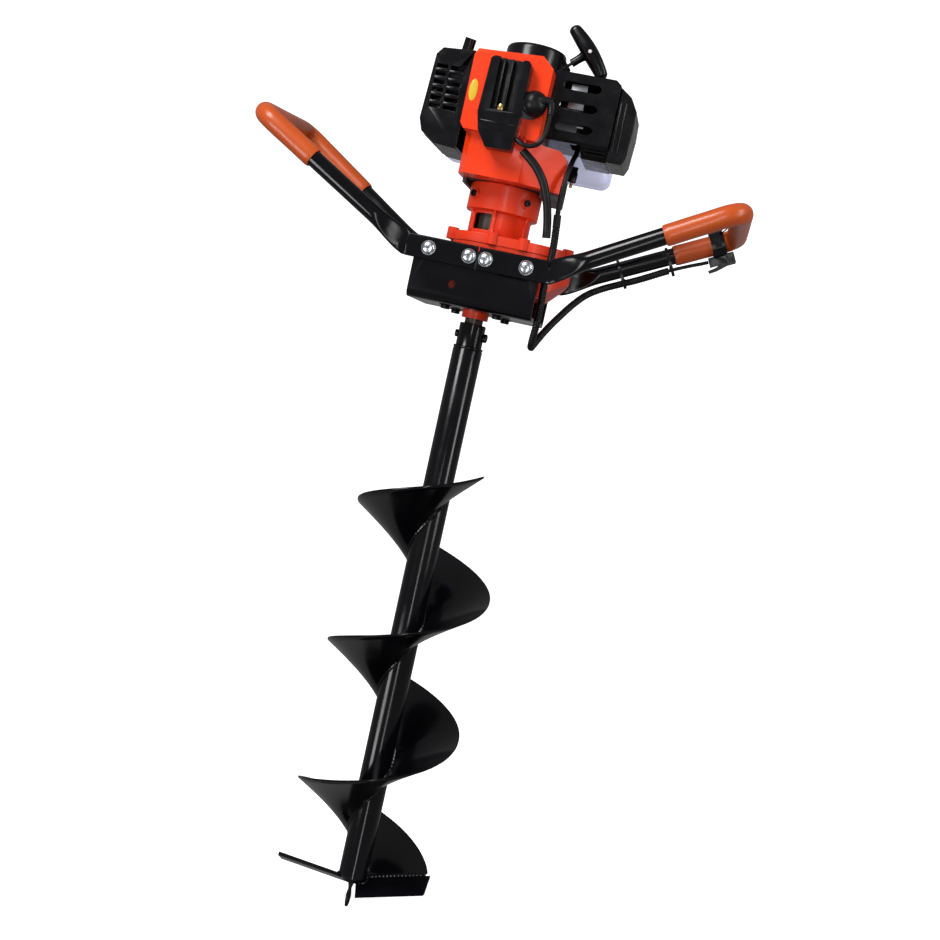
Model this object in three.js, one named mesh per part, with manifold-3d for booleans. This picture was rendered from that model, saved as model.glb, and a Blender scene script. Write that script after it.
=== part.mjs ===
// Petrol ice auger: a two-stroke powerhead on a two-handed bracket, driving a spiral bit.
// Millimetres, +Z up along the bit, +X to the operator's right, +Y away from the operator.
// Heights below are measured from the bracket's underside; the last lines shift the whole
// machine so that the origin lies on the bit's axis, level with the middle of the hand grips.

import * as THREE from 'three';
import { mergeVertices } from 'three/addons/utils/BufferGeometryUtils.js';
import Module from 'manifold-3d';

const wasm = await Module();
wasm.setup();

// ---- driving dimensions -------------------------------------------------------------------
const GAP = 0.3;
const GRIP_HEIGHT = 160;
const TURN = 2 * Math.PI;

const bracket = { width: 162, depth: 140, height: 72, plate: 5, bend: 10 };
const boltHeight = 63;
const boltColumns = [10.7, 63];

const gearCentres = 51;
const caseLength = 59;
const engineX = 6;
const gearbox = { floor: 5.3, shoulder: 31, top: 84.3, radius: 52, wall: 5, noseRadius: 17.5, noseDrop: 9 };
const shaftRadius = 12;
const coverTop = 97;
const neck = { bottom: 97.3, top: 128, radius: 39.5, wall: 4, ringRadius: 47, ringTop: 163 };
const caseBottom = 163.3;
const crankHeight = 250;
const crankThrow = 15;
const rodLength = 48;
const frontFace = -88;

const bit = {
  tubeRadius: 19.5, socketRadius: 17.2, socketTop: -16, step: -47, bottom: -770,
  flightRadius: 100, pitch: 191, topHeight: -158.5, phase: 0.75, cup: 48, sheet: 3,
  start: -0.235, end: -3.066, lastCup: 15, lastDrop: 9,
};
const blade = {
  angle: 18, height: -776.5, cone: 0.19, pitch: 27.5, width: 34, reach: 106, thick: 5, trim: 10,
};

const handle = { tubeRadius: 11, reach: 306, spread: 96, root: 93, corner: 20 };

// How each loop rises, and how much higher its far tube ends than its near one.
const loops = {
  left: { side: -1, slope: 30.3, twist: 13, gripFrom: [227, 204] },
  right: { side: 1, slope: 28.4, twist: -8, gripFrom: [221, 230] },
};
const grip = { inner: 11.7, outer: 13.6 };
const pullAngle = 42;

// ---- materials ----------------------------------------------------------------------------
const finish = {
  orange: { color: 0xe8451c, roughness: 0.35, metalness: 0.0 },
  black: { color: 0x16171a, roughness: 0.3, metalness: 0.1 },
  plastic: { color: 0x1b1c1e, roughness: 0.45, metalness: 0.0 },
  rubber: { color: 0x141414, roughness: 0.8, metalness: 0.0 },
  gripFoam: { color: 0xee6a2c, roughness: 0.4, metalness: 0.0 },
  zinc: { color: 0xc9ced2, roughness: 0.3, metalness: 0.9 },
  steel: { color: 0x8d9298, roughness: 0.4, metalness: 0.9 },
  alloy: { color: 0x9a9ea3, roughness: 0.5, metalness: 0.7 },
  tank: { color: 0xd9d6e4, roughness: 0.4, metalness: 0.0 },
};

function named(name, geometry, look) {
  const mesh = new THREE.Mesh(geometry, new THREE.MeshStandardMaterial(finish[look]));
  mesh.name = name;
  return mesh;
}

// ---- solids from three.js shapes ----------------------------------------------------------
function toManifold(geometry) {
  const bare = geometry.clone();
  bare.deleteAttribute('normal');
  bare.deleteAttribute('uv');
  const merged = mergeVertices(bare, 1e-4);
  return new wasm.Manifold(new wasm.Mesh({
    numProp: 3,
    vertProperties: new Float32Array(merged.attributes.position.array),
    triVerts: new Uint32Array(merged.index.array),
  }));
}

function toGeometry(solid) {
  const mesh = solid.getMesh();
  const geometry = new THREE.BufferGeometry();
  geometry.setAttribute('position', new THREE.BufferAttribute(new Float32Array(mesh.vertProperties), 3));
  geometry.setIndex(new THREE.BufferAttribute(new Uint32Array(mesh.triVerts), 1));
  geometry.computeVertexNormals();
  return geometry;
}

function unite(...geometries) {
  return toGeometry(geometries.map(toManifold).reduce((sum, next) => sum.add(next)));
}

function cut(body, ...tools) {
  return toGeometry(tools.map(toManifold).reduce((left, tool) => left.subtract(tool), toManifold(body)));
}

function common(first, second) {
  return toGeometry(toManifold(first).intersect(toManifold(second)));
}

function block(x0, x1, y0, y1, z0, z1) {
  return new THREE.BoxGeometry(x1 - x0, y1 - y0, z1 - z0)
    .translate((x0 + x1) / 2, (y0 + y1) / 2, (z0 + z1) / 2);
}

function upright(radius, z0, z1, x = 0, y = 0, sides = 24) {
  return new THREE.CylinderGeometry(radius, radius, z1 - z0, sides)
    .rotateX(Math.PI / 2)
    .translate(x, y, (z0 + z1) / 2);
}

// A cylinder from one point to another.
function bar(from, to, radius, sides = 16) {
  const start = new THREE.Vector3(...from);
  const end = new THREE.Vector3(...to);
  const length = start.distanceTo(end);
  const turn = new THREE.Quaternion()
    .setFromUnitVectors(new THREE.Vector3(0, 1, 0), end.clone().sub(start).normalize());
  return new THREE.CylinderGeometry(radius, radius, length, sides)
    .applyQuaternion(turn)
    .translate((start.x + end.x) / 2, (start.y + end.y) / 2, (start.z + end.z) / 2);
}

function outline(points) {
  return new THREE.Shape(points.map(([a, b]) => new THREE.Vector2(a, b)));
}

function extruded(shape, depth) {
  return new THREE.ExtrudeGeometry(shape, { depth, bevelEnabled: false, curveSegments: 4 });
}

// An outline drawn in X and Y, pulled up from z0 to z1.
function standing(shape, z0, z1) {
  return extruded(shape, z1 - z0).translate(0, 0, z0);
}

// An outline drawn in X and Z, pulled back from y0 to y1.
function facing(shape, y0, y1) {
  return extruded(shape, y1 - y0).rotateX(Math.PI / 2).translate(0, y1, 0);
}

// An outline drawn in Y and Z, pulled right from x0 to x1.
function sideways(shape, x0, x1) {
  const turn = new THREE.Matrix4().makeBasis(
    new THREE.Vector3(0, 1, 0), new THREE.Vector3(0, 0, 1), new THREE.Vector3(1, 0, 0));
  return extruded(shape, x1 - x0).applyMatrix4(turn).translate(x0, 0, 0);
}

// A turned body about a vertical axis; the profile lists radius and height.
function turned(profile, x = 0, y = 0, sides = 24) {
  const points = profile.map(([radius, height]) => new THREE.Vector2(radius, height));
  return outward(new THREE.LatheGeometry(points, sides)).rotateX(Math.PI / 2).translate(x, y, 0);
}

// A turned body about the line that leaves a point in a given direction.
function turnedAlong(profile, origin, direction, sides = 20) {
  const points = profile.map(([radius, height]) => new THREE.Vector2(radius, height));
  const turn = new THREE.Quaternion()
    .setFromUnitVectors(new THREE.Vector3(0, 1, 0), new THREE.Vector3(...direction).normalize());
  return outward(new THREE.LatheGeometry(points, sides)).applyQuaternion(turn).translate(...origin);
}

// The same body with its faces turned outwards, whichever way its profile ran.
function outward(geometry) {
  const index = Array.from(geometry.index.array);
  if (signedVolume(geometry.attributes.position.array, index) < 0) {
    geometry.setIndex(flipped(index));
  }
  return geometry;
}

function roundedBox(x0, x1, z0, z1, radius) {
  const shape = new THREE.Shape();
  shape.moveTo(x0 + radius, z0);
  shape.lineTo(x1 - radius, z0);
  shape.absarc(x1 - radius, z0 + radius, radius, -Math.PI / 2, 0);
  shape.lineTo(x1, z1 - radius);
  shape.absarc(x1 - radius, z1 - radius, radius, 0, Math.PI / 2);
  shape.lineTo(x0 + radius, z1);
  shape.absarc(x0 + radius, z1 - radius, radius, Math.PI / 2, Math.PI);
  shape.lineTo(x0, z0 + radius);
  shape.absarc(x0 + radius, z0 + radius, radius, Math.PI, 1.5 * Math.PI);
  return shape;
}

// Two equal circles a distance apart along X, joined by tangents.
function racetrack(radius, distance) {
  const points = [];
  const steps = 11;
  for (let half = 0; half < 2; half += 1) {
    for (let step = 0; step <= steps; step += 1) {
      const angle = (half - 0.5 + step / steps) * Math.PI;
      points.push([(1 - half) * distance + radius * Math.cos(angle), radius * Math.sin(angle)]);
    }
  }
  return outline(points);
}

// A closed body through a row of equal rings; a wrapped row closes on itself like a sleeve.
function skin(rings, wrapped) {
  const around = rings[0].length;
  const positions = rings.flat().flatMap((point) => [point.x, point.y, point.z]);
  const index = [];
  const bands = wrapped ? rings.length : rings.length - 1;
  for (let ring = 0; ring < bands; ring += 1) {
    const next = (ring + 1) % rings.length;
    for (let step = 0; step < around; step += 1) {
      const side = (step + 1) % around;
      const a = ring * around + step;
      const b = ring * around + side;
      const c = next * around + side;
      const d = next * around + step;
      index.push(a, b, c, a, c, d);
    }
  }
  if (!wrapped) {
    const last = (rings.length - 1) * around;
    for (let step = 1; step < around - 1; step += 1) {
      index.push(0, step + 1, step, last, last + step, last + step + 1);
    }
  }
  const geometry = new THREE.BufferGeometry();
  geometry.setAttribute('position', new THREE.Float32BufferAttribute(positions, 3));
  geometry.setIndex(index);
  outward(geometry).computeVertexNormals();
  return geometry;
}

function signedVolume(positions, index) {
  let sum = 0;
  const corner = (i) => new THREE.Vector3().fromArray(positions, index[i] * 3);
  for (let i = 0; i < index.length; i += 3) {
    sum += corner(i).dot(corner(i + 1).cross(corner(i + 2)));
  }
  return sum / 6;
}

function flipped(index) {
  const turnedOver = [];
  for (let i = 0; i < index.length; i += 3) {
    turnedOver.push(index[i], index[i + 2], index[i + 1]);
  }
  return turnedOver;
}

// A round cord through hand-placed points; its radius is given for each share of its length.
function cord(points, radiusAt, sides, steps) {
  const curve = new THREE.CatmullRomCurve3(points.map((point) => new THREE.Vector3(...point)));
  const frames = curve.computeFrenetFrames(steps);
  const rings = [];
  for (let step = 0; step <= steps; step += 1) {
    const centre = curve.getPointAt(step / steps);
    const radius = radiusAt(step / steps);
    rings.push(ringAround(centre, frames.normals[step], frames.binormals[step], radius, radius, 2, sides));
  }
  return skin(rings, false);
}

// One ring: an ellipse when power is 2, closer to a rounded slab as power grows.
function ringAround(centre, across, up, halfWidth, halfHeight, power, sides) {
  const ring = [];
  for (let step = 0; step < sides; step += 1) {
    const angle = (step + 0.5) * TURN / sides;
    const round = (value) => Math.sign(value) * Math.abs(value) ** (2 / power);
    ring.push(centre.clone()
      .addScaledVector(across, halfWidth * round(Math.cos(angle)))
      .addScaledVector(up, halfHeight * round(Math.sin(angle))));
  }
  return ring;
}

// ---- bracket and its fasteners ------------------------------------------------------------
function bracketOutline() {
  const half = bracket.depth / 2;
  const { height, plate, bend } = bracket;
  const inner = bend - plate;
  const shape = new THREE.Shape();
  shape.moveTo(-half + bend, 0);
  shape.lineTo(half - bend, 0);
  shape.absarc(half - bend, bend, bend, -Math.PI / 2, 0);
  shape.lineTo(half, height);
  shape.lineTo(half - plate, height);
  shape.lineTo(half - plate, bend);
  shape.absarc(half - bend, bend, inner, 0, -Math.PI / 2, true);
  shape.lineTo(-half + bend, plate);
  shape.absarc(-half + bend, bend, inner, -Math.PI / 2, -Math.PI, true);
  shape.lineTo(-half + plate, height);
  shape.lineTo(-half, height);
  shape.lineTo(-half, bend);
  shape.absarc(-half + bend, bend, bend, Math.PI, 1.5 * Math.PI);
  return shape;
}

const screwSpots = [-boltColumns[1], -boltColumns[0], boltColumns[0], boltColumns[1]];
const floorBolts = [[-34, -38], [34, -38], [-34, 38], [34, 38]];

function bracketChannel() {
  const half = bracket.width / 2;
  const channel = sideways(bracketOutline(), -half, half);
  const noseHole = upright(gearbox.noseRadius + 3, -1, bracket.plate + 1);
  const spyHole = bar([-26, -bracket.depth / 2 - 1, 25], [-26, -bracket.depth / 2 + 6, 25], 5);
  const screwHoles = screwSpots.map(
    (x) => bar([x, -bracket.depth / 2 - 1, boltHeight], [x, bracket.depth / 2 + 1, boltHeight], 3.6, 8));
  const boltHoles = floorBolts.map(([x, y]) => upright(3.6, -1, bracket.plate + 1, x, y, 8));
  return named('bracket_channel', cut(channel, noseHole, spyHole, ...screwHoles, ...boltHoles), 'black');
}

// A pan-head screw through one handle strip and one bracket plate, its nut inside.
function handleScrew(name, x, side) {
  const faceY = side * (bracket.depth / 2 + 0.3 + 5.2 + GAP);
  const outward = [0, side, 0];
  const profile = [[0, 4.6], [5, 4], [8.4, 1.6], [9.3, 0], [3.2, 0], [3.2, -17.5], [0, -17.5]];
  return named(name, turnedAlong(profile, [x, faceY, boltHeight], outward, 8), 'zinc');
}

function floorBolt(name, x, y) {
  const head = upright(6.5, -6.5, -GAP, x, y, 6);
  const shank = upright(3.2, -0.5, gearbox.floor + 3, x, y, 6);
  return named(name, unite(head, shank), 'zinc');
}

// ---- gearbox ------------------------------------------------------------------------------
// The lower gear case is cut off short and chamfered under its right end.
function lowerCase(inset, z0, z1) {
  const right = 68 - inset;
  const chamfered = outline([
    [-60, -60], [40 - inset, -60], [right, -24], [right, 24], [40 - inset, 60], [-60, 60]]);
  const round = racetrack(gearbox.radius - inset, caseLength);
  return common(standing(chamfered, z0, z1), standing(round, z0, z1));
}

function gearboxHousing() {
  const { floor, shoulder, top, radius, wall, noseRadius, noseDrop } = gearbox;
  const upper = standing(racetrack(radius, caseLength), shoulder, top);
  const body = unite(lowerCase(0, floor, shoulder + 1), upper);
  const nose = upright(noseRadius, -noseDrop, floor + 1);
  const slope = facing(outline([[74, 26], [120, 66], [120, 0], [74, 0]]), -70, 70);
  const thicker = slope.clone().translate(0, 0, wall + 2);
  const room = cut(standing(racetrack(radius - wall, caseLength), shoulder + 4, top + 1), thicker);
  const lowerRoom = lowerCase(wall, floor + 4, shoulder + 5);
  const shaftBore = upright(shaftRadius + 0.6, -noseDrop - 1, floor + 5);
  const pilotHoles = floorBolts.map(([x, y]) => upright(3.6, floor - 1, floor + 5, x, y, 8));
  const closed = unite(body, nose);
  return named('gearbox_housing', cut(closed, slope, room, lowerRoom, shaftBore, ...pilotHoles), 'orange');
}

function gearboxCover() {
  const bottom = gearbox.top + GAP;
  const plate = standing(racetrack(gearbox.radius + 1, caseLength), bottom, coverTop);
  const lugSpots = [[-48, 22], [-48, -22], [10, -50], [50, -50], [104, -26], [104, 26], [50, 50], [6, 50]];
  const lugs = lugSpots.map(([x, y]) => upright(7.5, bottom, coverTop + 3, x, y, 8));
  const shaftHole = upright(9, bottom - 1, coverTop + 4, engineX);
  const neckSeat = upright(neck.radius + 1, coverTop, coverTop + 4, engineX);
  return named('gearbox_cover', cut(unite(plate, ...lugs), shaftHole, neckSeat), 'orange');
}

function clutchHousing() {
  const { bottom, top, radius, wall, ringRadius, ringTop } = neck;
  const tube = upright(radius, bottom, top, engineX);
  const ring = upright(ringRadius, top - 0.5, ringTop, engineX);
  const hollow = upright(radius - wall, bottom + 4, ringTop - 5, engineX);
  const openTop = upright(ringRadius - 8, top + 6, ringTop + 1, engineX);
  const shaftHole = upright(9, bottom - 1, bottom + 5, engineX);
  const window = block(engineX - 29, engineX - 4, -radius - 5, -radius + 18, top - 25, top - 3);
  const shell = cut(unite(tube, ring), hollow, openTop, shaftHole, window);
  return named('clutch_housing', shell, 'orange');
}

// A spur gear outline with pointed teeth; the first tooth points along the phase angle.
function gearShape(teeth, module, phase) {
  const pitchRadius = teeth * module / 2;
  const root = pitchRadius - 1.25 * module;
  const tip = pitchRadius + 0.85 * module;
  const step = TURN / teeth;
  const points = [];
  for (let tooth = 0; tooth < teeth; tooth += 1) {
    const middle = phase + tooth * step;
    for (const [radius, share] of [[tip, 0], [root, 0.5]]) {
      const angle = middle + share * step;
      points.push([radius * Math.cos(angle), radius * Math.sin(angle)]);
    }
  }
  return outline(points);
}

const stageOne = { module: 1.5, pinion: 10, wheel: 50 };
const stageTwo = { module: 2, pinion: 10, wheel: 41 };

function outputShaft() {
  const wheel = standing(gearShape(stageTwo.wheel, stageTwo.module, 0), 12, 28);
  const shaft = upright(shaftRadius, bit.step + 6, 32, 0, 0, 20);
  const boltHole = bar([-30, 0, -31], [30, 0, -31], 4.4, 12);
  return named('output_shaft', cut(unite(wheel, shaft), boltHole), 'steel');
}

function countershaft() {
  const pinionPhase = Math.PI + Math.PI / stageTwo.pinion;
  const pinion = standing(gearShape(stageTwo.pinion, stageTwo.module, pinionPhase), 11, 36.5);
  const wheel = standing(gearShape(stageOne.wheel, stageOne.module, Math.PI), 50, 60);
  const shaft = upright(6, 10, 80, 0, 0, 12);
  return named('countershaft', unite(pinion, wheel, shaft).translate(gearCentres, 0, 0), 'steel');
}

function clutchDrum() {
  const pinionPhase = Math.PI / stageOne.pinion;
  const pinion = standing(gearShape(stageOne.pinion, stageOne.module, pinionPhase), 48.5, 62);
  const shaft = upright(6.5, 61, 105, 0, 0, 12);
  const drum = upright(33, 104, 126, 0, 0, 24);
  const bowl = upright(30, 108, 127, 0, 0, 24);
  return named('clutch_drum', cut(unite(pinion, shaft, drum), bowl).translate(engineX, 0, 0), 'steel');
}

function clutchRotor() {
  const shoes = upright(29, 110, 124, 0, 0, 24);
  const slot = block(-30, 30, -1.5, 1.5, 109, 125);
  const hub = upright(9, 110, 130, 0, 0, 16);
  const stub = upright(7, 129, 165.7, 0, 0, 12);
  return named('clutch_rotor', unite(cut(shoes, slot), hub, stub).translate(engineX, 0, 0), 'alloy');
}

// ---- engine -------------------------------------------------------------------------------
function crankcase() {
  const plateTop = caseBottom + 9.7;
  const plate = standing(outline([
    [-41.5, -43.5], [71.5, -43.5], [71.5, -11.5], [76, -11.5], [76, 45], [-47, 45], [-47, -11.5],
    [-41.5, -11.5]]), caseBottom, plateTop);
  const feet = [[-47, -42], [54, 76]].flatMap(([x0, x1]) => [
    block(x0, x1, -38, 45, caseBottom - 6.5, caseBottom - GAP), block(x0, x1, -11.5, 45, 162, plateTop)]);
  const backWall = block(-47, 76, 36, 45, plateTop - 1, 192);
  const body = block(-29, 40, -31, 38, 190, 294);
  const bearing = upright(7.5, 150, 310, engineX, 0, 16);
  const crankRoom = upright(28, crankHeight - 16, crankHeight + 16, engineX);
  const pistonRoom = block(engineX - 23, engineX + 23, -32, 0, crankHeight - 23, crankHeight + 23);
  const flywheelRoom = upright(37.5, 150, plateTop + 1, engineX);
  const solid = unite(plate, ...feet, backWall, body);
  return named('crankcase', cut(solid, bearing, crankRoom, pistonRoom, flywheelRoom), 'alloy');
}

const plugBase = [21.5, -77, 253];
const plugAim = [0.5, -0.846, 0.185];
const alongPlug = (distance) => plugBase.map((value, i) => value + plugAim[i] * distance);

function cylinder() {
  const along = (radius, y0, y1, sides) => bar(
    [engineX, y0, crankHeight], [engineX, y1, crankHeight], radius, sides);
  const barrel = along(27, -80, -31.3, 20);
  const fins = [-70, -58, -46].map((y) => along(33, y, y + 3, 16));
  const bore = along(22, -75, -30, 20);
  const plugHole = bar(alongPlug(-12), alongPlug(12), 5.6, 10);
  return named('cylinder', cut(unite(barrel, ...fins), bore, plugHole), 'alloy');
}

function piston() {
  const wrist = -(crankThrow + rodLength);
  const along = (radius, y0, y1) => bar([engineX, y0, crankHeight], [engineX, y1, crankHeight], radius, 20);
  const body = cut(along(21.6, wrist - 10.5, wrist + 11.5), along(18.5, wrist - 6.5, wrist + 13));
  const pin = bar([engineX, wrist, crankHeight - 19.5], [engineX, wrist, crankHeight + 19.5], 4, 12);
  return named('piston', unite(body, pin), 'alloy');
}

function connectingRod() {
  const wrist = -(crankThrow + rodLength);
  const small = upright(6, crankHeight - 4, crankHeight + 4, engineX, wrist, 12);
  const eye = upright(4.3, crankHeight - 5, crankHeight + 5, engineX, wrist, 12);
  const big = upright(8, crankHeight - 4, crankHeight + 4, engineX, -crankThrow, 12);
  const shank = block(
    engineX - 3.5, engineX + 3.5, wrist + 5, -crankThrow - 5, crankHeight - 3, crankHeight + 3);
  return named('connecting_rod', cut(unite(small, big, shank), eye), 'steel');
}

function crankUpper() {
  const web = upright(19.5, crankHeight + 4.5, crankHeight + 13, engineX, 0, 20);
  const shaft = upright(7, crankHeight + 12, 300, engineX, 0, 12);
  return named('crank_upper', unite(web, shaft), 'steel');
}

function crankLower() {
  const web = upright(19.5, crankHeight - 13, crankHeight - 4.5, engineX, 0, 20);
  const shaft = upright(7, 186.3, crankHeight - 12, engineX, 0, 12);
  return named('crank_lower', unite(web, shaft), 'steel');
}

function flywheel() {
  const profile = [[0, 166], [34, 166], [36, 168], [36, 182], [30, 186], [0, 186]];
  return named('flywheel', turned(profile, engineX), 'alloy');
}

function engineShroud() {
  const upperSide = outline([
    [-50, 214.5], [-55, 221], [-55, 305], [-51, 313], [30, 317], [45, 304], [45, 222], [41.5, 214.5]]);
  const upper = facing(upperSide, frontFace, -20);
  const lowerTop = outline([[-50, -12], [-50, -60], [-40, -77], [30, -77], [80, -46], [80, -12]]);
  const lowerSide = outline([
    [-50, 190], [-54, 166], [-50, 163.3], [78, 163.3], [81, 168], [81, 206], [70, 215], [-50, 215]]);
  const lower = common(standing(lowerTop, 163.3, 215), facing(lowerSide, -90, 0));
  const upperRoom = facing(outline([
    [-51, 222], [-51, 303], [-49, 309], [28, 312], [41, 301], [41, 222]]), frontFace + 4, 0);
  const lowerRoom = standing(outline([
    [-46, 0], [-46, -58], [-38, -73], [28, -73], [76, -44], [76, 0]]), 167, 211);
  const passage = unite(block(-46, 40.5, -70, 0, 210, 223), block(-46, 36, frontFace + 4, -60, 216, 223));
  const skirt = block(-42, 72, -44, 0, 160, 168);
  const plugHole = bar(alongPlug(-4), alongPlug(30), 16.6, 16);
  const starterSeat = upright(40, 286, 330, engineX);
  const intake = block(39, 47.5, -58, -14, 228, 268);
  const exhaust = block(-60, -48, -54, -14, 232, 268);
  const shell = cut(
    unite(upper, lower), upperRoom, lowerRoom, passage, skirt, plugHole, starterSeat, intake, exhaust);
  return named('engine_shroud', shell, 'orange');
}

function coilCover() {
  const shape = outline([
    [-30, 301], [-26, 304], [17, 304], [20.5, 300], [20.5, 240], [17.5, 195], [-15, 194], [-28, 213],
    [-33, 235]]);
  const front = frontFace - 17;
  const body = facing(shape, front, frontFace - GAP);
  const channel = block(-19, 10, front - 1, front + 7, 240, 306);
  const rear = facing(outline([
    [-26, 298], [16, 298], [16, 240], [13, 200], [-13, 200], [-24, 214], [-28, 236]]), front + 10, frontFace);
  const bootRoom = bar(alongPlug(5), alongPlug(50), 16.6, 16);
  return named('coil_cover', cut(body, channel, rear, bootRoom), 'plastic');
}

function sparkPlug() {
  const profile = [
    [0, 0], [5, 0], [5, 11], [8.5, 11], [8.5, 16], [4.5, 17], [4.2, 30], [0, 30]];
  return named('spark_plug', turnedAlong(profile, plugBase, plugAim, 12), 'alloy');
}

function plugBoot() {
  const profile = [[0, 0], [15, 0], [16, 5], [14.5, 10.5], [10, 16], [0, 18.5]];
  const dome = turnedAlong(profile, alongPlug(18), plugAim, 16);
  const elbow = bar(alongPlug(26), elbowEnd, 6.2, 12);
  const socket = bar(alongPlug(17), alongPlug(31), 4.9, 12);
  return named('plug_boot', cut(unite(dome, elbow), socket), 'rubber');
}

const elbowEnd = [47.5, -97, 262.3];

function ignitionLead() {
  const route = [
    [48.5, -96.8, 262.7], [50.9, -96.3, 262.7], [53.2, -96, 260], [54.3, -96, 254], [54.5, -96, 243],
    [54, -96, 231], [52, -96.5, 219], [47.5, -98, 210.5], [40, -100, 206], [32, -101, 205.5],
    [25, -100.5, 208], [21.4, -99.5, 210.5]];
  return named('ignition_lead', cord(route, () => 2.8, 6, 22), 'rubber');
}

function killWireSleeve() {
  const route = [
    [30, -92, 200], [38, -92, 194], [48, -91, 186], [57, -90, 176], [64, -88, 165], [69, -85, 153],
    [73, -81, 140], [76, -77, 126], [78, -74, 113], [79, -73, 104]];
  return named('kill_wire_sleeve', cord(route, () => 5.2, 8, 18), 'rubber');
}

function muffler() {
  const can = block(-104, -74, -46, 22, 222, 300);
  const inlet = block(-75, -60, -44, -24, 236, 264);
  const outlet = bar([-88, 0, 298], [-81, -8, 342], 7.5, 14);
  const bore = bar([-84.8, -3.6, 318], [-80.7, -8.4, 344], 5.5, 14);
  return named('muffler', cut(unite(can, inlet, outlet), bore), 'steel');
}

function mufflerGuard() {
  const shape = outline([
    [-101.5, 313], [-60, 316], [-60, 192], [-89, 194], [-108, 206.5], [-113.5, 222], [-109, 304]]);
  const room = outline([
    [-99, 310], [-50, 310], [-50, 195], [-88, 197], [-105.5, 208.5], [-110.4, 222.5], [-106, 303]]);
  const body = facing(shape, -60, 30);
  const slots = [];
  for (let row = 0; row < 6; row += 1) {
    const height = 290 - row * 10;
    for (const [x0, x1] of [[-105, -91], [-87, -70]]) {
      slots.push(block(x0, x1, -62, -55, height - 2.5, height + 2.5));
    }
  }
  const outletHole = bar([-88, 0, 298], [-81, -8, 342], 8.6, 14);
  return named('muffler_guard', cut(body, facing(room, -57, 27), outletHole, ...slots), 'plastic');
}

function carburettor() {
  const body = block(56, 84, -52, -22, 236, 268);
  const flange = block(49, 57, -55, -19, 234, 270);
  const throat = bar([46, -37, 252], [88, -37, 252], 8, 12);
  const lever = upright(5, 267, 274, 66, -37, 12);
  return named('carburettor', cut(unite(body, flange, lever), throat), 'alloy');
}

function slotRow(x0, x1, y0, y1, height, half) {
  const middle = block(x0, x1, y0, y1, height - half, height + half);
  const ends = [x0, x1].map((x) => bar([x, y0, height], [x, y1, height], half, 12));
  return unite(middle, ...ends);
}

// A wedge off the lower front edge of the air duct.
function frontBevel(inset) {
  return sideways(outline([[-61, 230 + inset], [-61, 206], [-42 + inset, 206], [-42 + inset, 210]]), 39, 134);
}

function airShroud() {
  const shape = outline([
    [45.5, 309], [48, 311], [121, 311], [128, 305.5], [128, 212], [96, 212], [92.5, 226], [45.5, 226]]);
  const inside = outline([
    [40, 308], [119.5, 308], [125, 303.5], [133, 303.5], [133, 215], [98.5, 215], [95, 229], [40, 229]]);
  const body = cut(facing(shape, -60, 30), frontBevel(0));
  const room = cut(facing(inside, -57, 27), frontBevel(5));
  const slots = [295, 270, 244].map((height) => slotRow(62, 100, -62, -55, height, 5));
  const leadNotch = block(79, 92, -48, -12, 224, 231);
  return named('air_shroud', cut(body, room, ...slots, leadNotch), 'plastic');
}

function filterCap() {
  const shape = outline([
    [128.3, 304.5], [143, 294.5], [152.5, 279], [153.7, 256], [152, 221], [148, 211.5], [128.3, 211.5]]);
  const inside = outline([
    [127, 300.5], [141, 291], [148.6, 277.5], [149.7, 256], [148, 222.5], [145.5, 215.5], [127, 215.5]]);
  return named('filter_cap', cut(facing(shape, -56, 22), facing(inside, -52, 18)), 'plastic');
}

function fuelTank() {
  const body = facing(roundedBox(-103, 126, 199, 252, 14), 48, 108);
  const room = facing(roundedBox(-100, 123, 202, 249, 11), 51, 105);
  const neckTube = upright(14, 250, 258, 100, 78, 20);
  const mouth = upright(11, 247, 260, 100, 78, 20);
  return named('fuel_tank', cut(unite(body, neckTube), room, mouth), 'tank');
}

function fuelCap() {
  const profile = [
    [0, 262], [14.3, 262], [14.3, 253.5], [18, 253.5], [18, 266], [16, 268], [0, 268]];
  return named('fuel_cap', turned(profile, 100, 78, 20), 'plastic');
}

// ---- recoil starter -----------------------------------------------------------------------
const pull = [Math.cos(pullAngle * TURN / 360), 0, Math.sin(pullAngle * TURN / 360)];
const along = (start, distance) => start.map((value, i) => value + pull[i] * distance);
const ropeExit = [42, 0, 326];

function recoilHousing() {
  const profile = [
    [0, 345], [35, 345], [38, 343], [39, 339], [39, 294.3], [36, 294.3], [36, 338], [34, 341], [32, 342],
    [0, 342]];
  const cup = turned(profile, engineX);
  const spindle = upright(5, 304, 344, engineX, 0, 12);
  const spout = bar(along(ropeExit, -8), along(ropeExit, 9), 8, 12);
  const keepOut = upright(36.5, 290, 339, engineX);
  const bore = bar(along(ropeExit, -16), along(ropeExit, 12), 4.4, 10);
  return named('recoil_housing', cut(unite(cup, cut(spout, keepOut), spindle), bore), 'plastic');
}

function recoilPulley() {
  const profile = [
    [6, 306], [29, 306], [29, 309], [24, 311], [24, 317], [29, 319], [29, 322], [6, 322], [6, 306]];
  return named('recoil_pulley', turned(profile, engineX), 'plastic');
}

function starterRope() {
  return named('starter_rope', bar(along(ropeExit, 9.5), along(ropeExit, 13.7), 2, 10), 'rubber');
}

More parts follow.
